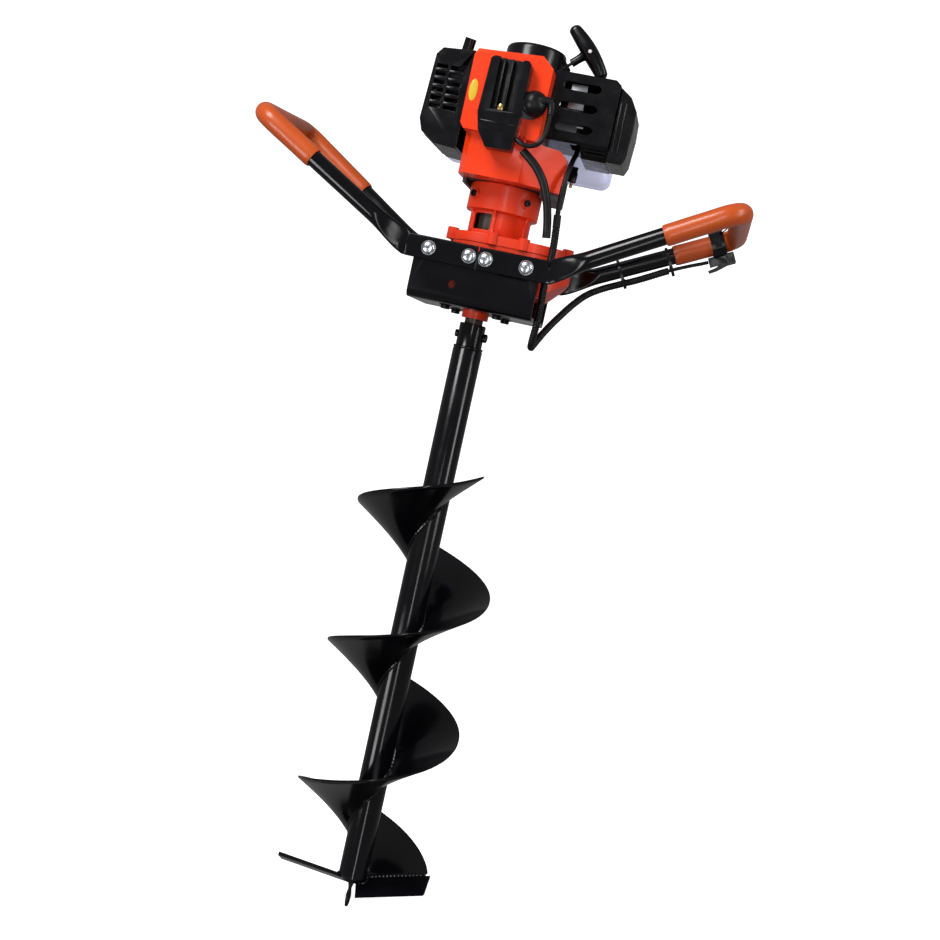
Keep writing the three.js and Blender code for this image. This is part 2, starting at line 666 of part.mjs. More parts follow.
function starterHandle() {
  const across = new THREE.Vector3(pull[2], 0, -pull[0]);
  const middle = new THREE.Vector3(...along(ropeExit, 41));
  const stem = turnedAlong([[0, 14], [5.5, 14], [5, 24], [6.5, 34], [7, 41], [0, 41]], ropeExit, pull, 12);
  const stations = [[-39, 4.5], [-36, 7.5], [-22, 9.5], [0, 10.5], [22, 9.5], [36, 7.5], [39, 4.5]];
  const forward = new THREE.Vector3(0, 1, 0);
  const rings = stations.map(([offset, size]) => ringAround(
    middle.clone().addScaledVector(across, offset), forward, new THREE.Vector3(...pull),
    size * 1.05, size, 2.6, 14));
  return named('starter_handle', unite(stem, skin(rings, false)), 'plastic');
}

// ---- handles, grips and throttle ----------------------------------------------------------
const stripY = bracket.depth / 2 + 0.3 + 2.6;

// How far the tube stands from the middle plane, a given distance out from the bit's axis.
function spreadAt(x) {
  const share = Math.max(0, x - handle.root) / (handle.reach - handle.root);
  return stripY + (handle.spread - stripY) * Math.sqrt(share);
}

function heightAt(loop, x, y) {
  const out = Math.max(0, x - handle.root);
  const far = (y / handle.spread + 1) / 2;
  const twisted = far * loop.twist * out / (handle.reach - handle.root);
  return boltHeight + out * Math.tan(loop.slope * TURN / 360) + twisted;
}

// The handle's centre line: a strip along the bracket, a rising tube and a squared-off loop.
function handlePath(loop) {
  const straight = [1, handle.root - 6, handle.root + 1.5, 102, 112, 125, 139, ...loop.gripFrom, 275];
  const corners = straight.sort((a, b) => a - b).map((x) => [x, spreadAt(x)]);
  const bendFrom = handle.reach - handle.corner;
  const turns = 5;
  for (let step = 0; step <= turns; step += 1) {
    const angle = step * TURN / 4 / turns;
    const inward = handle.corner * (1 - Math.cos(angle));
    corners.push([bendFrom + handle.corner * Math.sin(angle), spreadAt(bendFrom) - inward]);
  }
  const nearHalf = corners.map(([x, y]) => [x, -y]);
  const farHalf = corners.slice().reverse();
  return nearHalf.concat(farHalf)
    .map(([x, y]) => new THREE.Vector3(loop.side * x, y, heightAt(loop, x, y)));
}

function pathFrames(points) {
  return points.map((point, i) => {
    const before = points[Math.max(i - 1, 0)];
    const after = points[Math.min(i + 1, points.length - 1)];
    const ahead = after.clone().sub(before).normalize();
    const across = ahead.clone().cross(new THREE.Vector3(0, 0, 1)).normalize();
    return { across, up: across.clone().cross(ahead).normalize() };
  });
}

// How far a section has opened from flat strip (0) to round tube (1).
function opening(x) {
  return THREE.MathUtils.smoothstep(Math.abs(x), handle.root + 4, handle.root + 46);
}

function handleTube(name, loop) {
  const points = handlePath(loop);
  const frames = pathFrames(points);
  const rings = points.map((point, i) => {
    const round = opening(point.x);
    const halfWidth = THREE.MathUtils.lerp(2.6, handle.tubeRadius, round);
    const halfHeight = THREE.MathUtils.lerp(14.4, handle.tubeRadius, round);
    const power = THREE.MathUtils.lerp(5, 2, round);
    return ringAround(point, frames[i].across, frames[i].up, halfWidth, halfHeight, power, 10);
  });
  const reachY = bracket.depth / 2 + 10;
  const holes = boltColumns.map((x) => bar(
    [loop.side * x, -reachY, boltHeight], [loop.side * x, reachY, boltHeight], 3.6, 8));
  return named(name, cut(skin(rings, false), ...holes), 'black');
}

function gripSleeve(name, loop) {
  const [nearEdge, farEdge] = loop.gripFrom;
  const points = handlePath(loop);
  const frames = pathFrames(points);
  const kept = points.map((point, i) => ({ point, frame: frames[i] }))
    .filter(({ point }) => Math.abs(point.x) >= (point.y < 0 ? nearEdge : farEdge));
  const ring = ({ point, frame }, radius) => (
    ringAround(point, frame.across, frame.up, radius, radius, 2, 10));
  const outer = kept.map((station) => ring(station, grip.outer));
  const inner = kept.map((station) => ring(station, grip.inner)).reverse();
  return named(name, skin(outer.concat(inner), true), 'gripFoam');
}

// The throttle sits on the right handle's far tube; its own axis runs up that tube.
const throttle = { x: 284, y: spreadAt(284), clampLength: 18 };
throttle.z = heightAt(loops.right, throttle.x, throttle.y);
const throttleGroup = new THREE.Group();
throttleGroup.position.set(throttle.x, throttle.y, throttle.z);
throttleGroup.rotation.y = -27 * TURN / 360;

function throttleClamp() {
  const half = throttle.clampLength / 2;
  const shell = bar([-half, 0, 0], [half, 0, 0], 18.6, 16);
  const pod = block(-half - 8, half + 8, -6, 6, -27, -14);
  const ears = block(half - 3, half + 8, -9, 9, -30, -16);
  const bore = bar([-half - 12, 0, 0], [half + 12, 0, 0], 15.9, 16);
  const leverSlot = block(-half - 12, half + 9, -4.5, 4.5, -31, -18);
  const pinHole = bar([half + 3, -12, -25], [half + 3, 12, -25], 2.2, 10);
  const switchSlot = block(-4, 4, -22, -16, -5, 5);
  const body = unite(shell, pod, ears);
  return named('throttle_clamp', cut(body, bore, leverSlot, pinHole, switchSlot), 'plastic');
}

function throttleTrigger() {
  const half = throttle.clampLength / 2;
  const shape = outline([
    [half + 6, -21.5], [half + 6, -28], [half - 6, -31], [-10, -34], [-20, -34.5], [-21, -31], [-10, -29.5],
    [half - 6, -24]]);
  const lever = facing(shape, -4, 4);
  const pin = bar([half + 3, -8.5, -25], [half + 3, 8.5, -25], 1.8, 10);
  return named('throttle_trigger', unite(lever, pin), 'plastic');
}

function killSwitch() {
  return named('kill_switch', block(-3.6, 0.4, -21, -16.4, -4.6, 4.6), 'plastic');
}

// The loom leaves the throttle pod, follows the tube's underside, droops beside the bracket
// and rises past its open end to the carburettor.
function controlLoom() {
  const tube = (x, drop) => [x, spreadAt(x) + 1, heightAt(loops.right, x, spreadAt(x)) - drop];
  const route = [
    tube(257, 20.5), tube(248, 20), tube(237, 19.5), tube(222, 19.5), tube(204, 20.5), tube(186, 21),
    [167, 88, 80], [146, 84, 69], [129, 72, 56], [116, 55, 39], [105, 36, 20], [95, 14, 0], [88.5, -8, -17],
    [85.5, -22, -27], [84.5, -31, -30], [85.4, -40, -20], [87.2, -47, -2], [87.6, -53, 28], [87, -55, 50],
    [87.6, -55, 72], [88, -54, 94], [86.6, -55, 116], [84.5, -58, 140], [84, -59, 163], [85, -55, 186],
    [86.5, -42, 207], [87, -26, 219], [87, -20, 229]];
  const cable = 2.5;
  const sleeve = 4.8;
  const lead = 3.2;
  const thickness = (share) => (share < 0.5
    ? THREE.MathUtils.lerp(cable, sleeve, THREE.MathUtils.smoothstep(share, 0.05, 0.1))
    : THREE.MathUtils.lerp(sleeve, lead, THREE.MathUtils.smoothstep(share, 0.8, 0.83)));
  return named('control_loom', cord(route, thickness, 7, 44), 'rubber');
}

// ---- the bit ------------------------------------------------------------------------------
function augerTube() {
  const { tubeRadius, socketRadius, socketTop, step, bottom } = bit;
  const bore = shaftRadius + 0.4;
  const profile = [
    [bore, step + 4], [bore, socketTop], [socketRadius, socketTop], [socketRadius, step],
    [tubeRadius, step - 3], [tubeRadius, bottom], [tubeRadius - 3, bottom], [tubeRadius - 3, step + 4],
    [bore, step + 4]];
  const boltHole = bar([-30, 0, -31], [30, 0, -31], 4.4, 12);
  return named('auger_tube', cut(turned(profile, 0, 0, 24), boltHole), 'black');
}

// The flight: a dished sheet wound on the tube, cut to a point at its top.
function augerFlight() {
  const across = 3;
  const steps = 54;
  const inner = bit.tubeRadius + GAP;
  const levels = [bit.sheet / 2, -bit.sheet / 2];
  const rings = [];
  for (let step = 0; step <= steps; step += 1) {
    const turns = THREE.MathUtils.lerp(bit.start, bit.end, step / steps);
    const angle = TURN * turns + bit.phase;
    const settle = THREE.MathUtils.smoothstep(bit.start - turns, 2.45, bit.start - bit.end);
    const cup = THREE.MathUtils.lerp(bit.cup, bit.lastCup, settle);
    const taper = THREE.MathUtils.smoothstep(bit.start - turns, 0, 0.16);
    const outer = THREE.MathUtils.lerp(88, bit.flightRadius, taper);
    const rim = bit.topHeight + bit.pitch * turns - bit.lastDrop * settle;
    const place = (share, level) => {
      const radius = THREE.MathUtils.lerp(inner, outer, share);
      const height = rim - cup * (1 - share) + level;
      return new THREE.Vector3(radius * Math.cos(angle), radius * Math.sin(angle), height);
    };
    const ring = [];
    for (let j = 0; j <= across; j += 1) {
      ring.push(place(j / across, levels[0]));
    }
    for (let j = across; j >= 0; j -= 1) {
      ring.push(place(j / across, levels[1]));
    }
    rings.push(ring);
  }
  return named('auger_flight', skin(rings, false), 'black');
}

// One cutter: a flat bar on a spoke of the tube, dished up outwards and pitched to bite.
function cutter(name, spoke) {
  const angle = spoke * TURN / 360;
  const pitch = blade.pitch * TURN / 360;
  const out = new THREE.Vector3(Math.cos(angle), Math.sin(angle), blade.cone).normalize();
  const back = new THREE.Vector3(-Math.sin(angle), Math.cos(angle), 0);
  const lead = back.clone().multiplyScalar(-Math.cos(pitch)).add(new THREE.Vector3(0, 0, -Math.sin(pitch)));
  const normal = out.clone().cross(lead).normalize();
  const foot = new THREE.Vector3(0, 0, blade.height);
  const corner = (distance, width, level) => foot.clone()
    .addScaledVector(out, distance).addScaledVector(lead, width).addScaledVector(normal, level);
  const ring = (distance, lip) => [
    corner(distance, 0, blade.thick / 2), corner(distance + 0.8 * lip, blade.width - 6, blade.thick / 2),
    corner(distance + lip, blade.width, -blade.thick / 2), corner(distance, 0, -blade.thick / 2)];
  const bladeBody = skin([ring(5, 0), ring(blade.reach, -blade.trim)], false);
  const pilotRoom = upright(5.1, -840, -700, 0, 0, 12);
  return named(name, cut(bladeBody, pilotRoom, mirrorRoom(angle)), 'black');
}

// Everything on the far side of the bit's axis, so that the two cutters never meet.
function mirrorRoom(angle) {
  return block(-60, -GAP, -60, 60, -860, -700).rotateZ(angle);
}

function pilotPoint() {
  const rings = [];
  for (let step = 0; step <= 8; step += 1) {
    const twist = step * 0.35;
    const size = THREE.MathUtils.lerp(4.6, 3.2, step / 8);
    const across = new THREE.Vector3(Math.cos(twist), Math.sin(twist), 0);
    const up = new THREE.Vector3(-Math.sin(twist), Math.cos(twist), 0);
    const centre = new THREE.Vector3(0, 0, bit.bottom - 3 - step * 5.2);
    rings.push(ringAround(centre, across, up, size, size * 0.6, 2, 8));
  }
  return named('pilot_point', skin(rings, false), 'black');
}

function driveBolt() {
  const shank = bar([-18.5, 0, -31], [19, 0, -31], 4, 12);
  const head = bar([-21, 0, -31], [-17.5, 0, -31], 5.2, 6);
  const nut = bar([17.5, 0, -31], [22, 0, -31], 6, 6);
  return named('drive_bolt', unite(shank, head, nut), 'zinc');
}

// ---- assembly -----------------------------------------------------------------------------
const machine = new THREE.Group();
machine.name = 'machine';
machine.position.z = -GRIP_HEIGHT;

machine.add(
  bracketChannel(), gearboxHousing(), gearboxCover(), clutchHousing(),
  outputShaft(), countershaft(), clutchDrum(), clutchRotor(),
  crankcase(), cylinder(), piston(), connectingRod(), crankUpper(), crankLower(), flywheel(),
  engineShroud(), coilCover(), sparkPlug(), plugBoot(), ignitionLead(), killWireSleeve(),
  muffler(), mufflerGuard(), carburettor(), airShroud(), filterCap(), fuelTank(), fuelCap(),
  recoilHousing(), recoilPulley(), starterRope(), starterHandle(),
  handleTube('handle_left', loops.left), handleTube('handle_right', loops.right),
  gripSleeve('grip_left', loops.left), gripSleeve('grip_right', loops.right),
  controlLoom(),
  augerTube(), augerFlight(), cutter('cutter_right', blade.angle), cutter('cutter_left', blade.angle + 180),
  pilotPoint(), driveBolt());

screwSpots.forEach((x, i) => {
  machine.add(handleScrew(`screw_front_${i + 1}`, x, -1));
  machine.add(handleScrew(`screw_back_${i + 1}`, x, 1));
});
floorBolts.forEach(([x, y], i) => machine.add(floorBolt(`floor_bolt_${i + 1}`, x, y)));

throttleGroup.add(throttleClamp(), throttleTrigger(), killSwitch());
machine.add(throttleGroup);

const auger = new THREE.Group();
auger.name = 'ice_auger';
auger.add(machine);

export default auger;
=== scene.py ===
"""Looks of the petrol ice auger: finished pieces, materials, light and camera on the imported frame.

Lengths in the helpers below are millimetres, measured as on the machine: heights from the
underside of the bracket. at() turns such a point into the frame's metres.
"""

import math

import bmesh
import bpy
from mathutils import Matrix, Vector


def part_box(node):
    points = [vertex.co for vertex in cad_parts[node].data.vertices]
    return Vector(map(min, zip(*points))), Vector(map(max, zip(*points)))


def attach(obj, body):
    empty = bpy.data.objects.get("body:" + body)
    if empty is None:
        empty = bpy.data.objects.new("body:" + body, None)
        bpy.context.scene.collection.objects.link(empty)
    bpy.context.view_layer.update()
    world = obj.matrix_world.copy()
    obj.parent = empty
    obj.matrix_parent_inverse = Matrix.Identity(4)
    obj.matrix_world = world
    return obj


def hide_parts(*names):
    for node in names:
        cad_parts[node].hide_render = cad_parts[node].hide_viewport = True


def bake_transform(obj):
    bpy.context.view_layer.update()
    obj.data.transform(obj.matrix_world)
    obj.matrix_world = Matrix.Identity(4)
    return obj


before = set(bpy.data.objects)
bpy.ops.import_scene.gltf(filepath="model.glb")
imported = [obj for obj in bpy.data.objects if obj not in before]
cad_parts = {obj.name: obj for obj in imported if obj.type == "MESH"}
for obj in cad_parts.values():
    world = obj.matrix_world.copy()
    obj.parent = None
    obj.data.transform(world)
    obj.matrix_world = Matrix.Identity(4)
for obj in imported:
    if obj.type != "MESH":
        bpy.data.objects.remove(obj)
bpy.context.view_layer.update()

TURN = 2 * math.pi
GRIP_HEIGHT = 160
ENGINE_X = 6
NOISE_SEED = 7.0
MERGE_DISTANCE = 2e-6
AXIS_GAP = 0.01
X_AXIS = Vector((1, 0, 0))
Y_AXIS = Vector((0, 1, 0))
Z_AXIS = Vector((0, 0, 1))


def at(x, y, z):
    """A point of the machine, in the frame's metres."""
    return Vector((x, y, z - GRIP_HEIGHT)) / 1000


# ---- camera ----
# The camera's place is in the frame's metres.
CAMERA_PLACE = (0.30096, -1.72443, -0.23884)
CAMERA_RIGHT = Vector((0.96306987, 0.16272679, 0.21451437))
CAMERA_UP = Vector((-0.22303715, 0.03583273, 0.97415114))
LENS = 51.06
SENSOR_WIDTH = 36


def make_camera():
    camera = linked("camera", bpy.data.cameras.new("camera"))
    back = CAMERA_RIGHT.cross(CAMERA_UP).normalized()
    turn = Matrix((CAMERA_RIGHT, CAMERA_UP, back)).transposed().to_4x4()
    camera.matrix_world = Matrix.Translation(CAMERA_PLACE) @ turn
    camera.data.lens = LENS
    camera.data.sensor_width = SENSOR_WIDTH
    camera.data.clip_end = 50
    bpy.context.scene.camera = camera


# ---- paths and solids ----
def lerp(a, b, share):
    return a + (b - a) * share


def polar(radius, angle, height=0.0):
    """The point at a radius, an angle from +X and a height."""
    return Vector((radius * math.cos(angle), radius * math.sin(angle), height))


def spoke(degrees):
    """The level direction at an angle in degrees from +X."""
    return polar(1, math.radians(degrees))


def smoothstep(value, low, high):
    share = min(1.0, max(0.0, (value - low) / (high - low)))
    return share * share * (3 - 2 * share)


def curve_through(points, spacing=2.0):
    """Points every few millimetres along a smooth curve through the given ones."""
    controls = [Vector(p) for p in points]
    dense = []
    for i in range(len(controls) - 1):
        before = controls[max(i - 1, 0)]
        start, end = controls[i], controls[i + 1]
        after = controls[min(i + 2, len(controls) - 1)]
        steps = max(2, int((end - start).length / spacing))
        for step in range(steps):
            t = step / steps
            dense.append(
                0.5 * (2 * start + (end - before) * t
                       + (2 * before - 5 * start + 4 * end - after) * t ** 2
                       + (3 * start - before - 3 * end + after) * t ** 3))
    dense.append(controls[-1])
    return dense


def headings(points):
    return [(points[min(i + 1, len(points) - 1)] - points[max(i - 1, 0)]).normalized()
            for i in range(len(points))]


def stations(path):
    """Each point, two directions across the path, carried without twisting, and the way up to it."""
    ahead = headings(path)
    side = ahead[0].orthogonal().normalized()
    travelled = 0.0
    for i, direction in enumerate(ahead):
        side = (side - direction * side.dot(direction)).normalized()
        travelled += (path[i] - path[max(i - 1, 0)]).length
        yield path[i], side, direction.cross(side), travelled


def linked(name, data):
    """A new object for the mesh, light or camera, in the scene."""
    piece = bpy.data.objects.new(name, data)
    bpy.context.collection.objects.link(piece)
    return piece


def mesh_piece(name, vertices, faces, smooth_angle=35):
    mesh = bpy.data.meshes.new(name)
    mesh.from_pydata([at(*v) for v in vertices], [], faces)
    piece = linked(name, mesh)
    tidy_mesh(mesh, smooth_angle)
    return piece


def tidy_mesh(mesh, smooth_angle=35):
    """Faces outwards, smooth shading, sharp where two faces meet at more than the angle."""
    shape = bmesh.new()
    shape.from_mesh(mesh)
    bmesh.ops.recalc_face_normals(shape, faces=shape.faces)
    shape.to_mesh(mesh)
    shape.free()
    shade(mesh, smooth_angle)


def shade(mesh, smooth_angle=35):
    mesh.polygons.foreach_set("use_smooth", [True] * len(mesh.polygons))
    mesh.set_sharp_from_angle(angle=math.radians(smooth_angle))


def skin(name, rings, closed=False, smooth_angle=35):
    """A body through equal rings; a closed row joins its last ring to its first."""
    around = len(rings[0])
    vertices = [point for ring in rings for point in ring]
    faces = []
    bands = len(rings) if closed else len(rings) - 1
    for i in range(bands):
        here, there = i * around, (i + 1) % len(rings) * around
        for j in range(around):
            k = (j + 1) % around
            faces.append((here + j, here + k, there + k, there + j))
    if not closed:
        last = (len(rings) - 1) * around
        faces.append(tuple(range(around)))
        faces.append(tuple(reversed(range(last, last + around))))
    return mesh_piece(name, vertices, faces, smooth_angle)


def ring_at(centre, side, up, half_width, half_height, power=2.0, sides=24, pinch=0.0):
    """An ellipse when power is 2, a rounded slab when it is more; pinch dents its flanks."""
    ring = []
    for step in range(sides):
        angle = (step + 0.5) * TURN / sides
        c, s = math.cos(angle), math.sin(angle)
        wide = math.copysign(abs(c) ** (2 / power), c) * half_width * (1 - pinch * (1 - s * s) ** 2)
        high = math.copysign(abs(s) ** (2 / power), s) * half_height
        ring.append(centre + side * wide + up * high)
    return ring


def tube(name, points, radius, sides=20, spacing=2.0, smooth=True):
    """A round cord or rod; the radius is a number or a function of the distance along it."""
    path = curve_through(points, spacing) if smooth else [Vector(p) for p in points]
    size = radius if callable(radius) else lambda distance: radius
    rings = [ring_at(point, side, up, size(travelled), size(travelled), 2, sides)
             for point, side, up, travelled in stations(path)]
    return skin(name, rings, smooth_angle=60)


def lathe(name, profile, origin, direction=(0, 0, 1), sides=64, smooth_angle=35, wave=None):
    """A turned body; its profile lists radius and height, from the axis round to the axis.

    wave changes a radius by its angle, for knurls.
    """
    turn = Z_AXIS.rotation_difference(Vector(direction).normalized())
    base = Vector(origin)
    rings = []
    for radius, height in profile:
        ring = []
        for step in range(sides):
            angle = step * TURN / sides
            r = max(radius, AXIS_GAP) + (wave(angle, radius) if wave else 0)
            ring.append(base + turn @ polar(r, angle, height))
        rings.append(ring)
    return skin(name, rings, smooth_angle=smooth_angle)


def turned_shell(name, profile, origin, sides=72):
    """A turned body whose profile is a closed loop, such as a ring or an open cup."""
    rings = []
    for step in range(sides):
        angle = step * TURN / sides
        rings.append([Vector(origin) + polar(radius, angle, height) for radius, height in profile])
    return skin(name, rings, closed=True)


def slab(name, x0, x1, y0, y1, z0, z1):
    corners = [(x, y, z) for z in (z0, z1) for x, y in ((x0, y0), (x1, y0), (x1, y1), (x0, y1))]
    faces = [(3, 2, 1, 0), (4, 5, 6, 7), (0, 1, 5, 4), (1, 2, 6, 5), (2, 3, 7, 6), (3, 0, 4, 7)]
    return mesh_piece(name, corners, faces)


def rounded(piece, width, segments=3, angle=32):
    """Rolls the piece's edges by a width in millimetres and applies it."""
    bevel = piece.modifiers.new("rolled_edges", "BEVEL")
    bevel.width = width / 1000
    bevel.segments = segments
    bevel.limit_method = "ANGLE"
    bevel.angle_limit = math.radians(angle)
    bevel.miter_outer = "MITER_ARC"
    bevel.harden_normals = True
    return applied(piece)


def applied(piece):
    """The piece with its modifiers made part of its mesh."""
    depsgraph = bpy.context.evaluated_depsgraph_get()
    mesh = bpy.data.meshes.new_from_object(piece.evaluated_get(depsgraph))
    mesh.name = piece.name
    old = piece.data
    piece.modifiers.clear()
    piece.data = mesh
    bpy.data.meshes.remove(old)
    return piece


def carved(piece, *tools):
    """The piece with the tools cut out of it."""
    for tool in tools:
        cut = piece.modifiers.new("cut", "BOOLEAN")
        cut.operation = "DIFFERENCE"
        cut.solver = "EXACT"
        cut.object = tool
    applied(piece)
    for tool in tools:
        bpy.data.objects.remove(tool)
    tidy_mesh(piece.data)
    return piece


def joined(name, parts):
    """One piece from several bodies that are fixed to each other."""
    shape = bmesh.new()
    for part in parts:
        shape.from_mesh(part.data)
    mesh = bpy.data.meshes.new(name)
    shape.to_mesh(mesh)
    shape.free()
    for part in parts:
        bpy.data.objects.remove(part)
    shade(mesh)
    return linked(name, mesh)


def finished(piece, look, slot, *nodes, body="powerhead"):
    """Gives a piece its material, the CAD nodes it stands for and its body; the slot is not used."""
    piece.data.materials.clear()
    piece.data.materials.append(look)
    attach(piece, body)
    if nodes:
        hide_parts(*nodes)
    return piece


def softened(node, look, slot, width=1.0, segments=2, body="powerhead"):
    """A copy of a CAD node with its flats merged and its edges rolled, standing for the node."""
    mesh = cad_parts[node].data.copy()
    piece = linked(node + "_finished", mesh)
    shape = bmesh.new()
    shape.from_mesh(mesh)
    bmesh.ops.remove_doubles(shape, verts=shape.verts, dist=MERGE_DISTANCE)
    bmesh.ops.dissolve_limit(
        shape, angle_limit=math.radians(1), verts=shape.verts, edges=shape.edges)
    shape.to_mesh(mesh)
    shape.free()
    tidy_mesh(mesh)
    rounded(piece, width, segments)
    return finished(piece, look, slot, node, body=body)


# ---- materials ----
COAT_ROUGHNESS = 0.08
GRAIN_DEPTH = 0.0006
# The noise lies mostly between these values, and pointiness between those on a rolled edge.
NOISE_RANGE = (0.3, 0.7)
EDGE_RANGE = (0.56, 0.66)


def set_inputs(node, values):
    for name, value in values.items():
        node.inputs[name].default_value = value


def mapped(nodes, source_range, target_range=(0.0, 1.0)):
    """A node that maps one range of values to another."""
    node = nodes.new("ShaderNodeMapRange")
    set_inputs(node, {"From Min": source_range[0], "From Max": source_range[1],
                      "To Min": target_range[0], "To Max": target_range[1]})
    return node


def surface(name, light, dark, roughness, metallic=0.0, coat=0.0, patch=25.0, grain=900.0,
            bump=0.02, worn=None, specular=0.5):
    """A finish with cloudy colour, uneven gloss, a fine grain and, if asked, rubbed edges.

    light and dark are the two ends of its colour, roughness the two ends of its gloss, patch and
    grain the sizes of the two noises, and worn the colour that shows on sharp edges.
    """
    look = bpy.data.materials.new(name)
    look.use_nodes = True
    nodes, links = look.node_tree.nodes, look.node_tree.links
    shader = nodes["Principled BSDF"]
    set_inputs(shader, {"Metallic": metallic, "Coat Weight": coat, "Coat Roughness": COAT_ROUGHNESS,
                        "Specular IOR Level": specular})
    place = nodes.new("ShaderNodeTexCoord")

    def noise(scale, detail):
        node = nodes.new("ShaderNodeTexNoise")
        node.noise_dimensions = "4D"
        set_inputs(node, {"W": NOISE_SEED, "Scale": scale, "Detail": detail})
        links.new(place.outputs["Object"], node.inputs["Vector"])
        return node

    clouds = noise(patch, 4)
    fine = noise(grain, 3)
    colour = nodes.new("ShaderNodeMix")
    colour.data_type = "RGBA"
    set_inputs(colour, {"A": (*light, 1), "B": (*dark, 1)})
    links.new(clouds.outputs["Fac"], colour.inputs["Factor"])
    result = colour.outputs["Result"]
    if worn:
        result = rubbed(nodes, links, fine, result, worn)
    links.new(result, shader.inputs["Base Color"])
    gloss = mapped(nodes, NOISE_RANGE, roughness)
    links.new(clouds.outputs["Fac"], gloss.inputs["Value"])
    links.new(gloss.outputs["Result"], shader.inputs["Roughness"])
    relief = nodes.new("ShaderNodeBump")
    set_inputs(relief, {"Strength": bump, "Distance": GRAIN_DEPTH})
    links.new(fine.outputs["Fac"], relief.inputs["Height"])
    links.new(relief.outputs["Normal"], shader.inputs["Normal"])
    return look


def rubbed(nodes, links, fine, result, worn):
    """Mixes the worn colour in along sharp edges, broken up by the fine noise."""
    geometry = nodes.new("ShaderNodeNewGeometry")
    edge = mapped(nodes, EDGE_RANGE)
    links.new(geometry.outputs["Pointiness"], edge.inputs["Value"])
    broken = nodes.new("ShaderNodeMath")
    broken.operation = "MULTIPLY"
    links.new(edge.outputs["Result"], broken.inputs[0])
    links.new(fine.outputs["Fac"], broken.inputs[1])
    mix = nodes.new("ShaderNodeMix")
    mix.data_type = "RGBA"
    set_inputs(mix, {"B": (*worn, 1)})
    links.new(broken.outputs["Value"], mix.inputs["Factor"])
    links.new(result, mix.inputs["A"])
    return mix.outputs["Result"]


def glowing(look, colour, strength):
    """The finish with a glow of its own: on the tank a painted glow that stands in for light shining through
    its pale body, on the stage an even white.
    """
    set_inputs(look.node_tree.nodes["Principled BSDF"],
               {"Emission Color": (*colour, 1), "Emission Strength": strength})
    return look


def clear_tank():
    look = surface("clear_tank", (0.68, 0.70, 0.92), (0.58, 0.60, 0.82), (0.30, 0.42),
                   patch=16, grain=300, bump=0.04)
    set_inputs(look.node_tree.nodes["Principled BSDF"],
               {"Subsurface Weight": 0.35, "Subsurface Scale": 0.01, "Transmission Weight": 0.15})
    # painted light: the tank's glow stands in for light shining through its pale plastic
    return glowing(look, (0.84, 0.88, 1.0), 0.2)


make_camera()
ORANGE = surface("orange_cover", (0.90, 0.050, 0.006), (0.80, 0.036, 0.004), (0.20, 0.34),
                 coat=0.12, patch=18, bump=0.05, worn=(0.9, 0.16, 0.05), specular=0.35)
CASTING = surface("orange_casting", (0.80, 0.042, 0.006), (0.64, 0.028, 0.004), (0.28, 0.48),
                  coat=0.1, patch=40, grain=420, bump=0.22, worn=(0.85, 0.14, 0.04), specular=0.35)
ENAMEL = surface("black_enamel", (0.0020, 0.0020, 0.0032), (0.0010, 0.0010, 0.0018), (0.10, 0.24),
                 patch=30, grain=260, bump=0.05, worn=(0.030, 0.030, 0.040), specular=0.30)
MOULDING = surface("black_moulding", (0.0024, 0.0025, 0.0036), (0.0012, 0.0012, 0.0020), (0.16, 0.30),
                   patch=60, grain=1500, bump=0.05, worn=(0.020, 0.020, 0.026), specular=0.28)
RUBBER = surface("black_rubber", (0.0034, 0.0034, 0.0044), (0.0018, 0.0018, 0.0024), (0.30, 0.46),
                 patch=90, grain=1200, bump=0.10, specular=0.25)
FOAM = surface("grip_foam", (0.53, 0.085, 0.011), (0.46, 0.066, 0.009), (0.24, 0.38),
               coat=0.1, patch=22, grain=500, bump=0.10, specular=0.4)
ZINC = surface("bright_zinc", (0.72, 0.74, 0.77), (0.50, 0.53, 0.58), (0.16, 0.34),
               metallic=1.0, patch=220, grain=1600, bump=0.05, worn=(0.85, 0.86, 0.88))
STEEL = surface("bare_steel", (0.46, 0.47, 0.49), (0.30, 0.31, 0.33), (0.28, 0.5),
                metallic=1.0, patch=80, grain=900, bump=0.10, worn=(0.6, 0.6, 0.62))
OILED = surface("oiled_steel", (0.085, 0.070, 0.058), (0.045, 0.038, 0.034), (0.32, 0.52),
                metallic=1.0, patch=90, grain=900, bump=0.10, worn=(0.2, 0.18, 0.16))
ALLOY = surface("cast_alloy", (0.36, 0.37, 0.40), (0.22, 0.23, 0.25), (0.42, 0.62),
                metallic=0.85, patch=70, grain=600, bump=0.25, worn=(0.5, 0.5, 0.52))
# painted shade: a darkened copy of the cast alloy, for alloy parts that sit in shade under the covers
SHADED_ALLOY = surface("shaded_alloy", (0.085, 0.087, 0.098), (0.045, 0.046, 0.053), (0.45, 0.65),
                     metallic=0.6, patch=70, grain=600, bump=0.25, worn=(0.2, 0.2, 0.22))
BRASS = surface("brass", (0.62, 0.44, 0.16), (0.42, 0.28, 0.09), (0.22, 0.4),
                metallic=1.0, patch=200, grain=900, bump=0.05)
TANK = clear_tank()
# painted glint: plain white for the small disc that stands in for a glint on the pull handle
PAINTED_GLINT = surface("painted_glint", (0.72, 0.71, 0.68), (0.6, 0.59, 0.56), (0.3, 0.45),
                 patch=150, bump=0.05)
RED = surface("red_wire", (0.55, 0.01, 0.012), (0.4, 0.008, 0.01), (0.3, 0.45),
              patch=120, bump=0.05)
LABEL = surface("yellow_label", (0.80, 0.52, 0.03), (0.7, 0.43, 0.02), (0.22, 0.34),
                patch=120, bump=0.02)


# ---- floor, light ----
FLOOR = {"flat": 2600, "bend": 900, "top": 4200, "sides": 64, "bend_steps": 8, "gap": 2}


